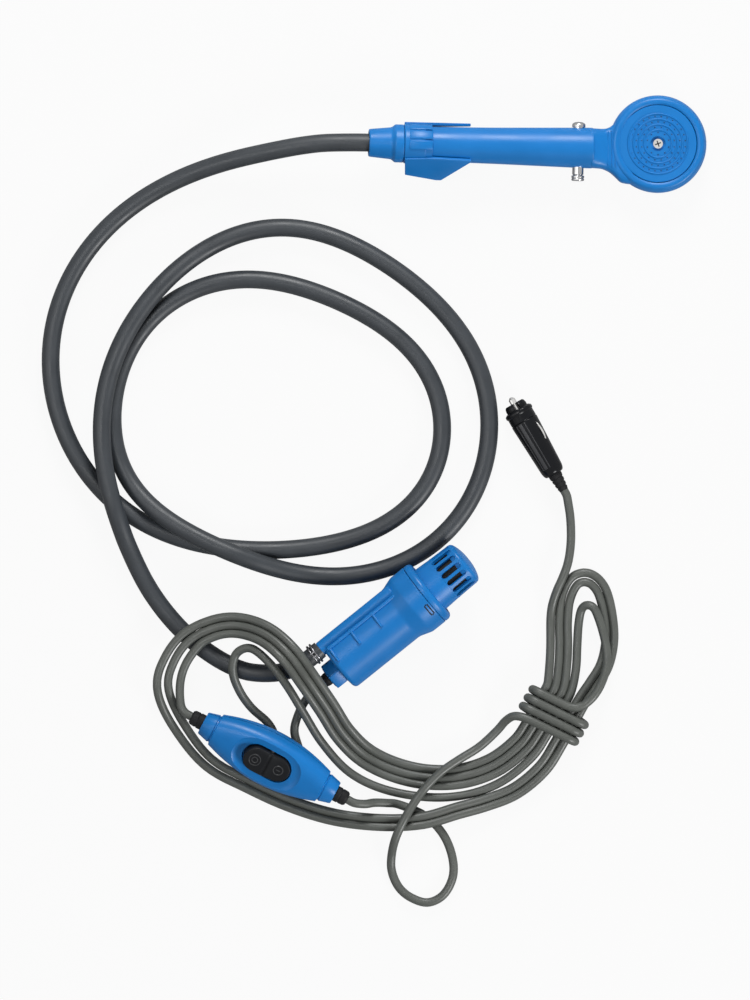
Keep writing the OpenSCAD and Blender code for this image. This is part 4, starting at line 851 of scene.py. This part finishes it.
class SHOWER_OT_pump(bpy.types.Operator):
    """Makes the pump's housing, its gland and the hose clamp's finish"""

    bl_idname = "shower.pump"
    bl_label = "Pump"

    def execute(self, context):
        bm = bmesh.new()
        turn(bm, PUMP, [
            (0, BARREL_BACK), (BARREL_R - 2.6, BARREL_BACK, 1), (BARREL_R - 0.9, BARREL_BACK + 0.9, 1),
            (BARREL_R, BARREL_BACK + 2.6, 1), (BARREL_R, BARREL_FRONT - 1, 2),
            (COLLAR_R - 0.6, BARREL_FRONT + 7, 3), (COLLAR_R, BARREL_FRONT + 9, 2),
            (COLLAR_R, COLLAR_FRONT, 0.5), (MOUTH_R, COLLAR_FRONT, 0.3), (MOUTH_R, MOUTH_FLOOR),
            (CHAMBER_R, MOUTH_FLOOR), (CHAMBER_R, CHAMBER_FLOOR), (MOTOR_R, CHAMBER_FLOOR),
            (MOTOR_R, MOTOR_FLOOR), (0, MOTOR_FLOOR),
        ], sides=96)
        rail_front = BARREL_FRONT + 5
        turn(bm, RAIL, [
            (RAIL_BORE, RAIL_END), (RAIL_R, RAIL_END, 0.6), (RAIL_R, rail_front, 2), (RAIL_BORE, rail_front),
        ], sides=40)
        turn(bm, RAIL, [
            (RAIL_BORE, RAIL_END - BARB_LEN), (4.0, RAIL_END - BARB_LEN, 0.4), (4.4, RAIL_END - 12),
            (4.4, RAIL_END + 1), (RAIL_BORE, RAIL_END + 1),
        ], sides=32)
        turn(bm, GLAND, [
            (4.6, BARREL_BACK - 6), (8, BARREL_BACK - 6, 0.4), (8, BARREL_BACK + 2), (4.6, BARREL_BACK + 2),
        ])
        self.ridge(bm)
        finished("pump_body", bm, "blue", "set", ["pump_housing"])
        self.snap_finger()
        self.gland()
        painted({"hose_clamp": "clamp_steel"})
        return {"FINISHED"}

    def ridge(self, bm):
        """The round ridge along the barrel and three cross ribs beside it."""
        top = BARREL_R + 0.5
        lean = math.radians(54)
        at = Matrix.Translation((0, top * math.cos(lean), top * math.sin(lean)))
        back = BARREL_BACK + 3
        front = BARREL_FRONT + 4
        turn(bm, PUMP @ at, [(0, back), (1.4, back, 0.5), (1.4, front, 0.5), (0, front)], sides=24)
        thick = 1.2
        count = 14
        for step in (4.5, 25, 45.5):
            rings = []
            for angle in range(50, 87, 2):
                ring = []
                for k in range(count):
                    t = 2 * math.pi * k / count
                    along = BARREL_BACK + step + thick * math.cos(t)
                    ring.append(around("x", BARREL_R + 0.1 + thick * math.sin(t), along, math.radians(angle)))
                rings.append(ring)
            loft(bm, PUMP, rings)

    def snap_finger(self):
        """Painted shade in the slit round the snap finger: a dark outline of two arcs round the collar and
        two short sides.
        """
        bm = bmesh.new()
        lean = PUMP @ rot("X", 26)
        width = 1.0
        back = COLLAR_FRONT - 4.6
        front = back + 3.4
        low = COLLAR_R - 0.6
        high = COLLAR_R + 0.04
        edge = math.degrees(5 / COLLAR_R)
        arcs = [(along, along + width, -edge, edge) for along in (back, front - width)]
        arcs += [(back + width, front - width, end * edge - 1.1, end * edge + 1.1) for end in (-1, 1)]
        for start, stop, first, last in arcs:
            rings = []
            for k in range(13):
                a = math.radians(90 + first + (last - first) * k / 12)
                corners = ((low, start), (low, stop), (high, stop), (high, start))
                rings.append([around("x", radius, along, a) for radius, along in corners])
            loft(bm, lean, rings)
        # The dark strips are painted shade in the slit.
        finished("pump_finger_slit", bm, "rubber", "set")

    def gland(self):
        bm = bmesh.new()
        radius = GLAND_FLATS / 2 / math.cos(math.radians(30))
        corners = [math.radians(60 * k + 90) for k in range(6)]
        outline = [(radius * math.cos(a), radius * math.sin(a)) for a in corners]
        stand = GLAND @ rot("Y", 90) @ rot("Z", 90)
        slab(bm, stand, outline, GLAND_BACK, BARREL_BACK - 0.2, 0.7)
        lip = GLAND_BACK - 0.6
        root = GLAND_BACK + 1
        turn(bm, GLAND, [(0, lip), (8.6, lip, 0.5), (8.6, root), (0, root)])
        finished("pump_gland", bm, "blue", "set", ["gland_nut"])
        turned("pump_grommet", GLAND, [
            (0, GLAND_BACK + 2), (5.2, GLAND_BACK + 2), (5.2, GLAND_BACK - 3, 0.6), (4.4, GROMMET_END, 0.5),
            (0, GROMMET_END),
        ], "rubber", "set", ["cable_grommet"], sides=40)


class SHOWER_OT_strainer(bpy.types.Operator):
    """Makes the strainer cap with its slotted cage"""

    bl_idname = "shower.strainer"
    bl_label = "Strainer cap"

    def execute(self, context):
        count = context.scene.shower_set.slots
        rim = COLLAR_R - 0.1
        seat = SLOT_FRONT - 0.4
        bm = bmesh.new()
        turn(bm, PUMP, [
            (7, 49), (22.9, 49, 0.3), (22.9, 53.4), (rim, 53.4, 0.5), (rim, CAP_FRONT - 2.2, 1.5),
            (COLLAR_R - 2.2, CAP_FRONT, 1.2), (20.2, CAP_FRONT, 0.3), (19.6, CAP_FRONT - 1.3),
            (18.7, CAP_FRONT - 1.3), (18.5, CAP_FRONT + 1.4, 1), (17.9, SLOT_BACK, 0.3), (15, SLOT_BACK),
            (15, 51), (7, 51),
        ], sides=96)
        turn(bm, PUMP, [
            (0, seat), (15, seat), (17.4, seat, 0.3), (17.3, CAP_TIP - 1.8, 1), (15.6, CAP_TIP - 0.1, 1.2),
            (11.5, CAP_TIP + 1.5, 3), (6, CAP_TIP + 2.6, 3), (0, CAP_TIP + 2.8),
        ], sides=96)
        turn(bm, PUMP, [
            (15.05, SLOT_FRONT - 4), (15.4, SLOT_FRONT - 4), (17.1, SLOT_FRONT - 0.2),
            (15.05, SLOT_FRONT - 0.2),
        ], sides=96)
        finished("strainer_shell", bm, "blue", "strainer", ["strainer_cap"])
        rib = bmesh.new()
        self.rib(rib, 2 * math.pi * CAGE_R / count - SLOT_WIDTH, SLOT_FRONT - SLOT_BACK)
        stand = PUMP @ shift(SLOT_BACK, 0, 0) @ rot("Y", 90)
        first = math.radians(180) + math.pi / count - math.radians(5.2)
        repeated(
            "strainer_ribs", rib, [(0, 0, 0)] * count, 2 * math.pi / count, first, stand, "blue", "strainer",
        )
        # The sleeve inside the cage is black so that the slots stay dark: painted shade inside the cage.
        painted({"filter_sleeve": "rubber"})
        return {"FINISHED"}

    def rib(self, bm, width, long):
        """One rib of the cage, widened at both ends by the slots' round corners."""
        gap = SLOT_WIDTH / 2
        outline = []
        for k in range(9):
            a = math.pi / 2 * k / 8
            outline.append((width / 2 + gap * (1 - math.sin(a)), gap * (1 - math.cos(a))))
        side = outline + [(y, long - x) for y, x in reversed(outline)]
        loops = []
        for low, high in ((15.6, 15.6), (17.9, 17.4)):
            ring = [(low + (high - low) * x / long, y, x) for y, x in side]
            ring += [(z, -y, x) for z, y, x in reversed(ring)]
            loops.append([bm.verts.new(Vector(p)) for p in ring])
        stitch(bm, loops[0], loops[1])
        for ring in loops:
            for k in range(len(ring) // 2 - 1):
                bm.faces.new((ring[k], ring[k + 1], ring[-2 - k], ring[-1 - k]))


class SHOWER_OT_motor(bpy.types.Operator):
    """Gives the pump's inner pieces their finishes"""

    bl_idname = "shower.motor"
    bl_label = "Motor and impeller"

    def execute(self, context):
        # The seal plate takes the blue in painted shade.
        painted({
            "impeller": "black", "seal_plate": "blue_painted_shade", "shaft_seal": "rubber", "cap_seal": "rubber",
            "motor_can": "plated_steel", "motor_end_cap": "black", "motor_magnets": "dark_iron",
            "armature": "dark_iron", "commutator": "copper", "motor_brushes": "dark_iron",
            "motor_shaft": "plated_steel",
        })
        return {"FINISHED"}


class SHOWER_OT_shower_head(bpy.types.Operator):
    """Makes the shower head: round head, neck and handle, with the spray plate's finish"""

    bl_idname = "shower.shower_head"
    bl_label = "Shower head"

    def execute(self, context):
        bm = bmesh.new()
        turn(bm, HEAD, [
            (0, 0), (26, 0, 5), (33.2, 3, 4), (HEAD_R, 10, 4), (HEAD_R, 17.5, 4), (34.2, 22.9, 2.6),
            (31.2, HEAD_H, 1.2), (29.3, 22.6, 0.4), (29.2, 18.9), (26.9, 18.9), (26.9, 4), (0, 4),
        ], axis="z", sides=128)
        turn(bm, HANDLE, [
            (4, SPIGOT_END), (9.4, SPIGOT_END, 0.4), (9.4, SEAT_BACK), (12.6, SEAT_BACK, 0.3),
            (12.6, SEAT_FRONT), (TAIL_R, SEAT_FRONT, 0.4), (13.3, -83, 20), (HANDLE_R, -3, 2),
            (HANDLE_R, 1, 0.5), (4, 1),
        ], sides=96)
        self.neck(bm)
        finished("shower_handset", bm, "blue", "set", ["shower_body"], sharp=32)
        self.plate()
        return {"FINISHED"}

    def neck(self, bm):
        """The neck by stations: along, half width, underside, top, squareness and middle."""
        stations = [
            (62, 14.8, 0.8, 30.2, 2.0, 183), (63.4, 14.8, 0.9, 29.6, 2.1, 183),
            (64.8, 14.8, 0.9, 27.9, 3.4, 183), (68, 14.8, 1.0, 26.5, 4.0, 182.8),
            (72, 14.9, 1.1, 24.7, 4.4, 182.5), (75.5, 15.7, 1.2, 23.2, 4.6, 182),
            (78.5, 17.2, 1.3, 22.6, 4.8, 181.8), (82, 20.2, 1.4, 22.5, 5.0, 181.8),
            (86, 24.4, 1.6, 22.5, 5.6, 182.2), (90, 27.2, 2.0, 22.6, 6.0, 183.8),
            (95, 29.4, 2.5, 22.6, 6.0, 185.4),
        ]
        loft(bm, Matrix.Scale(MM, 4), [superellipse(*station) for station in smooth(stations, 5)])
        for x in (76.8, 79.6, 82.4):
            rib = [(0, -13.4), (0.5, -13, 0.3), (0.5, 13, 0.3), (0, 13.4)]
            turn(bm, placed((x, 182.2, 22.6)), rib, axis="y", sides=16)

    def plate(self):
        """The spray plate's finish, its holes' rims, dark discs of painted shade low in its holes, its
        ridges, and its screw with a dark cross of painted shade in its slot.
        """
        seats = []
        for radius, count in ((8.4, 10), (12.4, 16), (16.4, 22), (20.4, 28)):
            for k in range(count):
                a = 2 * math.pi * (k + 0.5) / count
                seats.append((radius * math.cos(a), radius * math.sin(a), PLATE_TOP))
        rim = [(0.56, 0.02), (0.95, 0.02, 0.1), (0.8, 0.2, 0.1), (0.56, 0.1)]
        # Dark discs low in the holes: painted shade.
        floor = [(0, -0.9), (0.54, -0.9), (0.54, -0.3), (0, -0.3)]
        for name, corners, sides, key in (
            ("spray_hole_rims", rim, 14, "blue"), ("spray_hole_depths", floor, 12, "blue_painted_shade"),
        ):
            form = bmesh.new()
            turn(form, Matrix.Identity(4), corners, axis="z", sides=sides)
            repeated(name, form, seats, 0.0, 0.0, HEAD, key, "set")
        bm = bmesh.new()
        foot = PLATE_TOP - 0.1
        crest = PLATE_TOP + 0.75
        for radius in (10.4, 14.4, 18.4, 22.4):
            turn(bm, HEAD, [
                (radius - 0.9, foot), (radius - 0.3, crest, 0.25), (radius + 0.3, crest, 0.25),
                (radius + 0.9, foot),
            ], axis="z", sides=96)
        finished("spray_plate_ridges", bm, "blue", "set")
        # The screw's cross slot as dark bars: painted shade in the recess.
        cross = bmesh.new()
        for angle in (20, 110):
            stand = HEAD @ rot("Z", angle)
            block(cross, stand, (-2.35, -0.5, 21.7), (2.35, 0.5, 22.0), 0.05, 1)
        finished("screw_cross", cross, "dark_iron", "set")
        painted({"spray_plate": "blue", "plate_screw": "polished_metal", "plate_gasket": "rubber"})


class SHOWER_OT_handle_fittings(bpy.types.Operator):
    """Makes the push valve, the hanger bracket and the hose nut on the handle"""

    bl_idname = "shower.handle_fittings"
    bl_label = "Handle fittings"

    def execute(self, context):
        self.valve()
        self.bracket()
        self.nut()
        painted({"hose_tail": "black", "hose_washer": "rubber", "valve_o_rings": "rubber"})
        return {"FINISHED"}

    def valve(self):
        surface = HANDLE_R + HANDLE_SLOPE * VALVE_AT
        low = -surface - 9.75
        high = surface + 0.3
        turned("valve_stem", VALVE, [
            (0, low), (4.3, low, 0.5), (4.8, low + 0.8, 0.4), (4.8, low + 1.5, 0.2), (4.3, low + 1.7, 0.1),
            (4.3, low + 2.2, 0.1), (4.8, low + 2.4, 0.2), (4.8, low + 3.8, 0.3), (3.5, low + 4.1, 0.2),
            (3.5, low + 4.5, 0.1), (4.2, low + 4.8, 0.2), (4.2, -6.5), (2.4, -6.5), (2.4, 2), (4.2, 2),
            (4.2, high), (0, high),
        ], "bright_metal", "valve", ["valve_pin"], axis="y", sides=48)
        turned("valve_knob", VALVE, [
            (0, high), (5.0, high, 0.3), (5.0, high + 2.4, 0.9), (3.4, high + 3.6, 0.9), (1.2, high + 4, 0.4),
            (0, high + 4),
        ], "bright_metal", "valve", ["valve_cap"], axis="y", sides=48)

    def bracket(self):
        """The bracket's ring round the handle with its two fins and three grip panels."""
        bm = bmesh.new()
        back = SEAT_BACK + 0.1
        front = SEAT_FRONT - 0.1
        tilt = 21
        roll = HANDLE @ rot("X", -tilt)
        turn(bm, roll, [
            (12.65, back), (14.2, back, 0.4), (BRACKET_R, back + 0.6, 0.4),
            (BRACKET_R, SEAT_FRONT - 5.6, 0.4), (14.1, SEAT_FRONT - 5.2, 0.3), (14.1, front, 0.5),
            (12.65, front),
        ], sides=96)
        fin_end = SEAT_FRONT + FIN_REACH
        inner = TAIL_R + HANDLE_SLOPE * FIN_REACH + 0.4
        for side in (-1, 1):
            stand = roll @ rot("X", side * 69) @ shift(0, 0, inner)
            outline = [
                (back + 0.4, 0), (back + 1.6, -side * 17), (SEAT_FRONT + 4, -side * 22),
                (SEAT_FRONT + 8, -side * 22), (fin_end, -side * 2), (fin_end, 0), (SEAT_FRONT, side),
            ]
            if side > 0:
                outline.reverse()
            slab(bm, stand, outline, 0, 2.2, 0.45)
        finished("bracket_clip", bm, "blue", "bracket", ["hanger_bracket"])
        panel = bmesh.new()
        arcs = []
        for k in range(-7, 8):
            a = math.radians(13.4 * k / 7)
            high = BRACKET_R + (0.75 if abs(k) < 7 else 0.35)
            edge = (
                (13.9, 3.7), (high - 0.3, 3.7), (high, 4.3), (high, 20.2), (high - 0.3, 20.8), (13.9, 20.8),
            )
            arcs.append([around("z", radius, along, a) for radius, along in edge])
        loft(panel, Matrix.Identity(4), arcs)
        stand = roll @ shift(back, 0, 0) @ rot("Y", 90)
        start = math.radians(180 + tilt - 57.5)
        repeated(
            "bracket_grips", panel, [(0, 0, 0)] * 3, math.radians(31.5), start, stand, "blue", "bracket",
        )

    def nut(self):
        turned("hose_coupling", HANDLE, [
            (7.05, HOSE_START - 2.2), (8.7, NUT_BACK + 1, 0.5), (9.0, NUT_BACK, 0.5), (10.0, NUT_BACK, 0.6),
            (10.4, NUT_BACK + 0.8, 0.6), (12.0, NUT_FRONT - 9, 1.2), (13.2, NUT_FRONT - 7.6, 0.6),
            (14.2, NUT_FRONT - 6.4, 0.8), (14.2, NUT_FRONT, 0.6), (9.5, NUT_FRONT), (9.5, SPIGOT_END - 0.2),
            (8.7, SPIGOT_END - 0.2), (8.7, HOSE_START - 0.1), (7.05, HOSE_START - 0.1),
        ], "blue", "nut", ["hose_nut"], sides=96)


class SHOWER_OT_switch(bpy.types.Operator):
    """Makes the cord switch: two shells, rocker and rubber boots"""

    bl_idname = "shower.switch"
    bl_label = "Cord switch"

    END = [(-56, 8.0, 8.0), (-55.4, 8.7, 8.6), (-47.2, 11.0, 10.2), (-46.6, 10.5, 9.8), (-45.8, 10.6, 9.9)]
    BULB_END = 45.2
    ROCKER_FLAT = 8.5
    ROCKER_R = 10.0
    ROCKER_RISE = 6.6
    MARK_AT = 9.6

    def execute(self, context):
        rows = [(x, w, h, 0.9) for x, w, h in self.END]
        # Between the ends, width, height and squareness fall off from the middle
        for k in range(-24, 25):
            u = k / 24
            rows.append((self.BULB_END * u, 20.5 - 7.9 * u * u, 14 - 2.8 * u * u, 0.9 - 0.28 * (1 - u * u)))
        rows += [(-x, w, h, 0.9) for x, w, h in reversed(self.END)]
        self.shell("switch_top", rows, 1, "switch_upper_shell")
        self.shell("switch_base", rows, -1, "switch_lower_shell")
        self.rocker()
        self.boots()
        painted({
            "rocker_axle": "dark_iron", "rocker_contact": "copper", "switch_terminals": "copper",
            "switch_screws": "plated_steel",
        })
        return {"FINISHED"}

    def shell(self, name, rows, side, node):
        """One half of the switch, through rows of place, half width, height and squareness."""
        bm = bmesh.new()
        rings = []
        for x, w, h, power in rows:
            ring = []
            for k in range(61):
                a = math.pi * k / 60
                c = math.cos(a)
                y = w * math.copysign(abs(c) ** power, c)
                ring.append((x, y, side * max(h * math.sin(a) ** power, 0.4)))
            rings.append(ring)
        loft(bm, SWITCH, rings)
        if side > 0:
            bm = carved(bm, self.dish())
        finished(name, bm, "blue", "set", [node], sharp=35)

    def stadium(self, grow, count=24):
        radius = self.ROCKER_R + 1 + grow
        line = []
        for end in (1, -1):
            for k in range(count + 1):
                a = -math.pi / 2 + math.pi * k / count
                line.append((end * (self.ROCKER_FLAT + radius * math.cos(a)), end * radius * math.sin(a)))
        return line

    def dish(self):
        """The hollow round the rocker: a sloping wall, a small ledge and a deep gap."""
        bm = bmesh.new()
        levels = ((8.0, 4), (8.0, -1.2), (7.0, -2.0), (3.6, -3.0), (0.4, -3.3), (0.1, -7))
        loft(bm, SWITCH, [[(x, y, SWITCH_H / 2 + z) for x, y in self.stadium(grow)] for grow, z in levels])
        return bm

    def rocker(self):
        """The rocker's block: two dished pads with a groove between them."""
        bm = bmesh.new()
        pivot = SWITCH_H / 2 - 5
        lean = SWITCH @ shift(0, 0, pivot) @ rot("Y", 7)
        reach = self.ROCKER_FLAT + self.ROCKER_R - 0.1
        stations = {s * reach * math.sin(math.pi / 2 * k / 30) for k in range(31) for s in (-1, 1)}
        stations |= {s * 0.3 * k for k in range(8) for s in (-1, 1)}
        rings = []
        for x in sorted(stations):
            wide = math.sqrt(self.ROCKER_R ** 2 - max(abs(x) - self.ROCKER_FLAT, 0) ** 2)
            dip = 1.3 * (1 - ((abs(x) - 10) / 10) ** 2) + 1.5 * math.exp(-(x / 0.95) ** 2)
            top = self.ROCKER_RISE - 0.4 - dip - 0.8 * max(1 - (reach - abs(x)) / 1.6, 0) ** 2
            half = [
                (1.0, -2.4), (1.0, top - 1.4), (0.97, top - 0.8), (0.9, top - 0.35), (0.78, top - 0.1),
                (0.6, top), (0.3, top),
            ]
            ring = [(x, wide * share, z) for share, z in half]
            rings.append(ring + [(x, -y, z) for x, y, z in reversed(ring)])
        loft(bm, lean, rings)
        finished("switch_rocker", bm, "black", "rocker", ["rocker"])
        self.marks(lean, self.ROCKER_RISE - 1.7)

    def marks(self, lean, level):
        """Raised rings: two on the off pad and one, with a bar, on the on pad."""
        bm = bmesh.new()
        for x, radius in ((-self.MARK_AT, 4.4), (-self.MARK_AT, 2.2), (self.MARK_AT, 3.6)):
            turn(bm, lean @ shift(x, 0, level), [
                (radius - 0.6, -0.3), (radius - 0.25, 0.35, 0.1), (radius + 0.25, 0.35, 0.1),
                (radius + 0.6, -0.3),
            ], axis="z", sides=40)
        on_pad = lean @ shift(self.MARK_AT, 0, level)
        block(bm, on_pad, (-1.6, -0.4, -0.3), (1.6, 0.4, 0.35), 0.15)
        # The marks take the lighter black: painted highlight.
        finished("rocker_marks", bm, "black_satin", "rocker")

    def boots(self):
        bm = bmesh.new()
        for end in (0, 180):
            turn(bm, SWITCH @ rot("Z", end), [
                (0, SWITCH_HALF - 4), (6, SWITCH_HALF - 4), (6, SWITCH_HALF + 3.4, 0.3),
                (5.5, SWITCH_HALF + 3.8, 0.2), (5.5, SWITCH_HALF + 4.4, 0.2),
                (5.9, SWITCH_HALF + 4.8, 0.3), (5.6, RELIEF_END - 1.4, 0.6), (4.4, RELIEF_END, 0.4),
                (0, RELIEF_END),
            ], sides=40)
        reliefs = ["switch_relief_left", "switch_relief_right"]
        finished("switch_boots", bm, "rubber", "set", reliefs)


class SHOWER_OT_plug(bpy.types.Operator):
    """Makes the car plug: body with its ribs, notched crown, cable boot and side contacts"""

    bl_idname = "shower.plug"
    bl_label = "Car plug"

    def execute(self, context):
        front = NOSE_LEN + 0.2
        turned("plug_body", PLUG, [
            (0, front), (PLUG_R - 0.5, front, 0.2), (PLUG_R, front + 0.5, 0.3),
            (PLUG_BACK_R, SHELL_BACK - 4, 2), (PLUG_BACK_R - 0.8, SHELL_BACK - 1.2, 1),
            (PLUG_BACK_R - 2, SHELL_BACK, 0.6), (0, SHELL_BACK),
        ], "black_gloss", "set", ["plug_shell_upper", "plug_shell_lower"], sides=80)
        self.ribs(front)
        self.crown()
        self.boot()
        self.contact("plug_blade_right", 1, "contact_right", "plug_contact_right")
        self.contact("plug_blade_left", -1, "contact_left", "plug_contact_left")
        painted({"plug_tip": "polished_metal", "plug_spring": "plated_steel", "plug_fuse": "fuse_glass"})
        return {"FINISHED"}

    def ribs(self, front):
        bm = bmesh.new()
        first = front + 1
        last = SHELL_BACK - 6
        fall = (PLUG_R - PLUG_BACK_R) / (SHELL_BACK - 4 - front)
        seat = shift(first, 0, PLUG_R) @ Matrix.Rotation(math.atan(fall), 4, "Y")
        for angle, half, high in ((-18, 1.4, 0.6), (-38, 0.45, 0.15), (2, 0.45, 0.15), (150, 1.4, 0.6)):
            stand = PLUG @ rot("X", angle) @ seat
            block(bm, stand, (0, -half, -1.2), (last - first, half, high), min(half, 0.5) * 0.8)
        # The ribs take the lighter black: painted highlight along them.
        finished("plug_ribs", bm, "black_satin", "set")

    def contact(self, name, side, body, node):
        """A bowed spring blade, pointed at both ends."""
        bm = bmesh.new()
        reach = 7.1
        middle = NOSE_LEN + 5.4 + reach
        rings = []
        for k in range(-16, 17):
            u = k / 16
            half = 0.25 + 0.75 * (1 - u * u)
            high = PLUG_R + 0.9 - 1.05 * u * u
            section = (
                (-half, high - 1), (half, high - 1), (half, high - 0.25), (half * 0.6, high),
                (-half * 0.6, high), (-half, high - 0.25),
            )
            rings.append([(middle + u * reach, side * y, z) for z, y in section])
        loft(bm, PLUG, rings)
        finished(name, bm, "polished_metal", body, [node])

    def crown(self):
        """The plug's collar with four teeth round the tip."""
        bm = bmesh.new()
        turn(bm, PLUG, [
            (3.4, 5), (8.8, 5, 0.4), (10.9, 6.4, 0.6), (11.1, 8.4, 0.6), (10.2, 9.4, 0.5),
            (10.3, NOSE_LEN - 0.3, 0.2), (9.9, NOSE_LEN + 0.2), (3.4, NOSE_LEN + 0.2),
        ], sides=80)
        tooth = ((2.7, 5.6), (2.7, 0.5), (3.4, 0), (7.0, 0), (8.0, 1), (8.6, 3.4), (8.4, 5.6))
        for k in range(4):
            turns = [math.radians(90 * k + a) for a in range(-30, 31, 6)]
            loft(bm, PLUG, [[around("x", radius, along, a) for radius, along in tooth] for a in turns])
        finished("plug_crown", bm, "black_gloss", "set", ["plug_nose"])

    def boot(self):
        corners = [(0, SHELL_BACK - 3), (5.2, SHELL_BACK - 3), (5.2, SHELL_BACK + 1.6, 0.3)]
        for k in range(3):
            at = SHELL_BACK + 3.4 * (k + 1)
            wide = 4.9 - 0.4 * k
            groove = wide - 0.5
            corners += [(wide, at, 0.2), (groove, at + 0.2, 0.2)]
            corners += [(groove, at + 1, 0.2), (wide - 0.1, at + 1.2, 0.2)]
        corners += [(3.3, PLUG_LEAD_START, 0.3), (0, PLUG_LEAD_START)]
        turned("plug_boot", PLUG, corners, "rubber", "set", ["plug_relief"], sides=40)


# Lamps by name: place, aim, size and power; then the levels of the room and the floor
LAMPS = {
    "Key over the handle": ((0.1, 1.7, 1.1), (0.0, 0.1, 0), 0.8, 36),
    "Key over the pump": ((1.3, -1.4, 1.1), (-0.05, -0.15, 0), 0.8, 34),
    "Fill from the left": ((-1.6, -0.2, 1.5), (-0.1, -0.1, 0), 1.4, 6),
    "Soft light above": ((-0.9, 0.3, 2.7), (-0.1, -0.08, 0), 1.0, 14),
}
ROOM_LEVEL = 0.1
ROOM_IN_GLOSS = 0.65
FLOOR_GREY = (0.45, 0.45, 0.45, 1)
FLOOR_WHITE = 0.93
FLOOR_HALF = 6.0
FLOOR_Z = -0.0005


class SHOWER_OT_stage(bpy.types.Operator):
    """Makes the pale floor and the soft studio light"""

    bl_idname = "shower.stage"
    bl_label = "Floor and light"

    def execute(self, context):
        scene = context.scene
        scene.view_settings.view_transform = "Standard"
        self.floor()
        for name, (at, aim, size, power) in LAMPS.items():
            lamp = bpy.data.lights.new(name, "AREA")
            lamp.shape = "DISK"
            lamp.size = size
            lamp.energy = power
            obj = linked(name, lamp)
            obj.location = at
            obj.rotation_mode = "QUATERNION"
            obj.rotation_quaternion = (Vector(aim) - Vector(at)).to_track_quat("-Z", "Y")
        world = bpy.data.worlds.new("Soft room")
        scene.world = world
        world.use_nodes = True
        tree = world.node_tree
        path = wired(tree, "ShaderNodeLightPath", (-600, 0))
        level = wired(tree, "ShaderNodeMath", (-300, 0), {
            0: path.outputs["Is Glossy Ray"], 1: ROOM_IN_GLOSS, 2: ROOM_LEVEL,
        }, "MULTIPLY_ADD")
        feed(tree, tree.nodes["Background"], {"Color": WHITE, "Strength": level.outputs[0]})
        return {"FINISHED"}

    def floor(self):
        """A grey floor that the camera sees as nearly white."""
        bm = bmesh.new()
        bmesh.ops.create_grid(bm, x_segments=4, y_segments=4, size=FLOOR_HALF)
        mesh = bpy.data.meshes.new("floor")
        bm.to_mesh(mesh)
        bm.free()
        mesh.transform(shift(0, 0, FLOOR_Z))
        material = bpy.data.materials.new("Pale floor")
        material.use_nodes = True
        tree = material.node_tree
        shader = tree.nodes["Principled BSDF"]
        feed(tree, shader, {"Base Color": FLOOR_GREY, "Roughness": 0.9})
        glow = wired(tree, "ShaderNodeEmission", (0, -300), {"Color": WHITE, "Strength": 1.0})
        path = wired(tree, "ShaderNodeLightPath", (-600, 300))
        share = wired(tree, "ShaderNodeMath", (-300, 300), {
            0: path.outputs["Is Camera Ray"], 1: FLOOR_WHITE,
        }, "MULTIPLY")
        mix = wired(tree, "ShaderNodeMixShader", (300, 0), {
            0: share.outputs[0], 1: shader.outputs[0], 2: glow.outputs[0],
        })
        feed(tree, tree.nodes["Material Output"], {"Surface": mix.outputs[0]})
        mesh.materials.append(material)
        obj = linked("floor", mesh)


class SHOWER_PT_panel(bpy.types.Panel):
    """Lists the set's settings and steps"""

    bl_idname = "SHOWER_PT_panel"
    bl_label = "Shower set"
    bl_space_type = "VIEW_3D"
    bl_region_type = "UI"
    bl_category = "Shower set"

    def draw(self, context):
        look = context.scene.shower_set
        for name in ("blue", "black", "hose", "cable", "hose_size", "cable_size", "slots", "camera_height"):
            self.layout.prop(look, name)
        for step in STEPS:
            self.layout.operator(step.bl_idname)


STEPS = (
    SHOWER_OT_camera, SHOWER_OT_hose, SHOWER_OT_switch, SHOWER_OT_plug, SHOWER_OT_cable, SHOWER_OT_pump,
    SHOWER_OT_strainer, SHOWER_OT_motor, SHOWER_OT_shower_head, SHOWER_OT_handle_fittings, SHOWER_OT_stage,
)
CLASSES = (ShowerSetLook,) + STEPS + (SHOWER_PT_panel,)


def register():
    for cls in CLASSES:
        bpy.utils.register_class(cls)
    bpy.types.Scene.shower_set = PointerProperty(type=ShowerSetLook)


def unregister():
    del bpy.types.Scene.shower_set
    for cls in reversed(CLASSES):
        bpy.utils.unregister_class(cls)


def main():
    register()
    bpy.ops.shower.camera()
    bpy.ops.shower.hose()
    bpy.ops.shower.switch()
    bpy.ops.shower.plug()
    bpy.ops.shower.cable()
    bpy.ops.shower.pump()
    bpy.ops.shower.strainer()
    bpy.ops.shower.motor()
    bpy.ops.shower.shower_head()
    bpy.ops.shower.handle_fittings()
    bpy.ops.shower.stage()


if __name__ == "__main__":
    main()
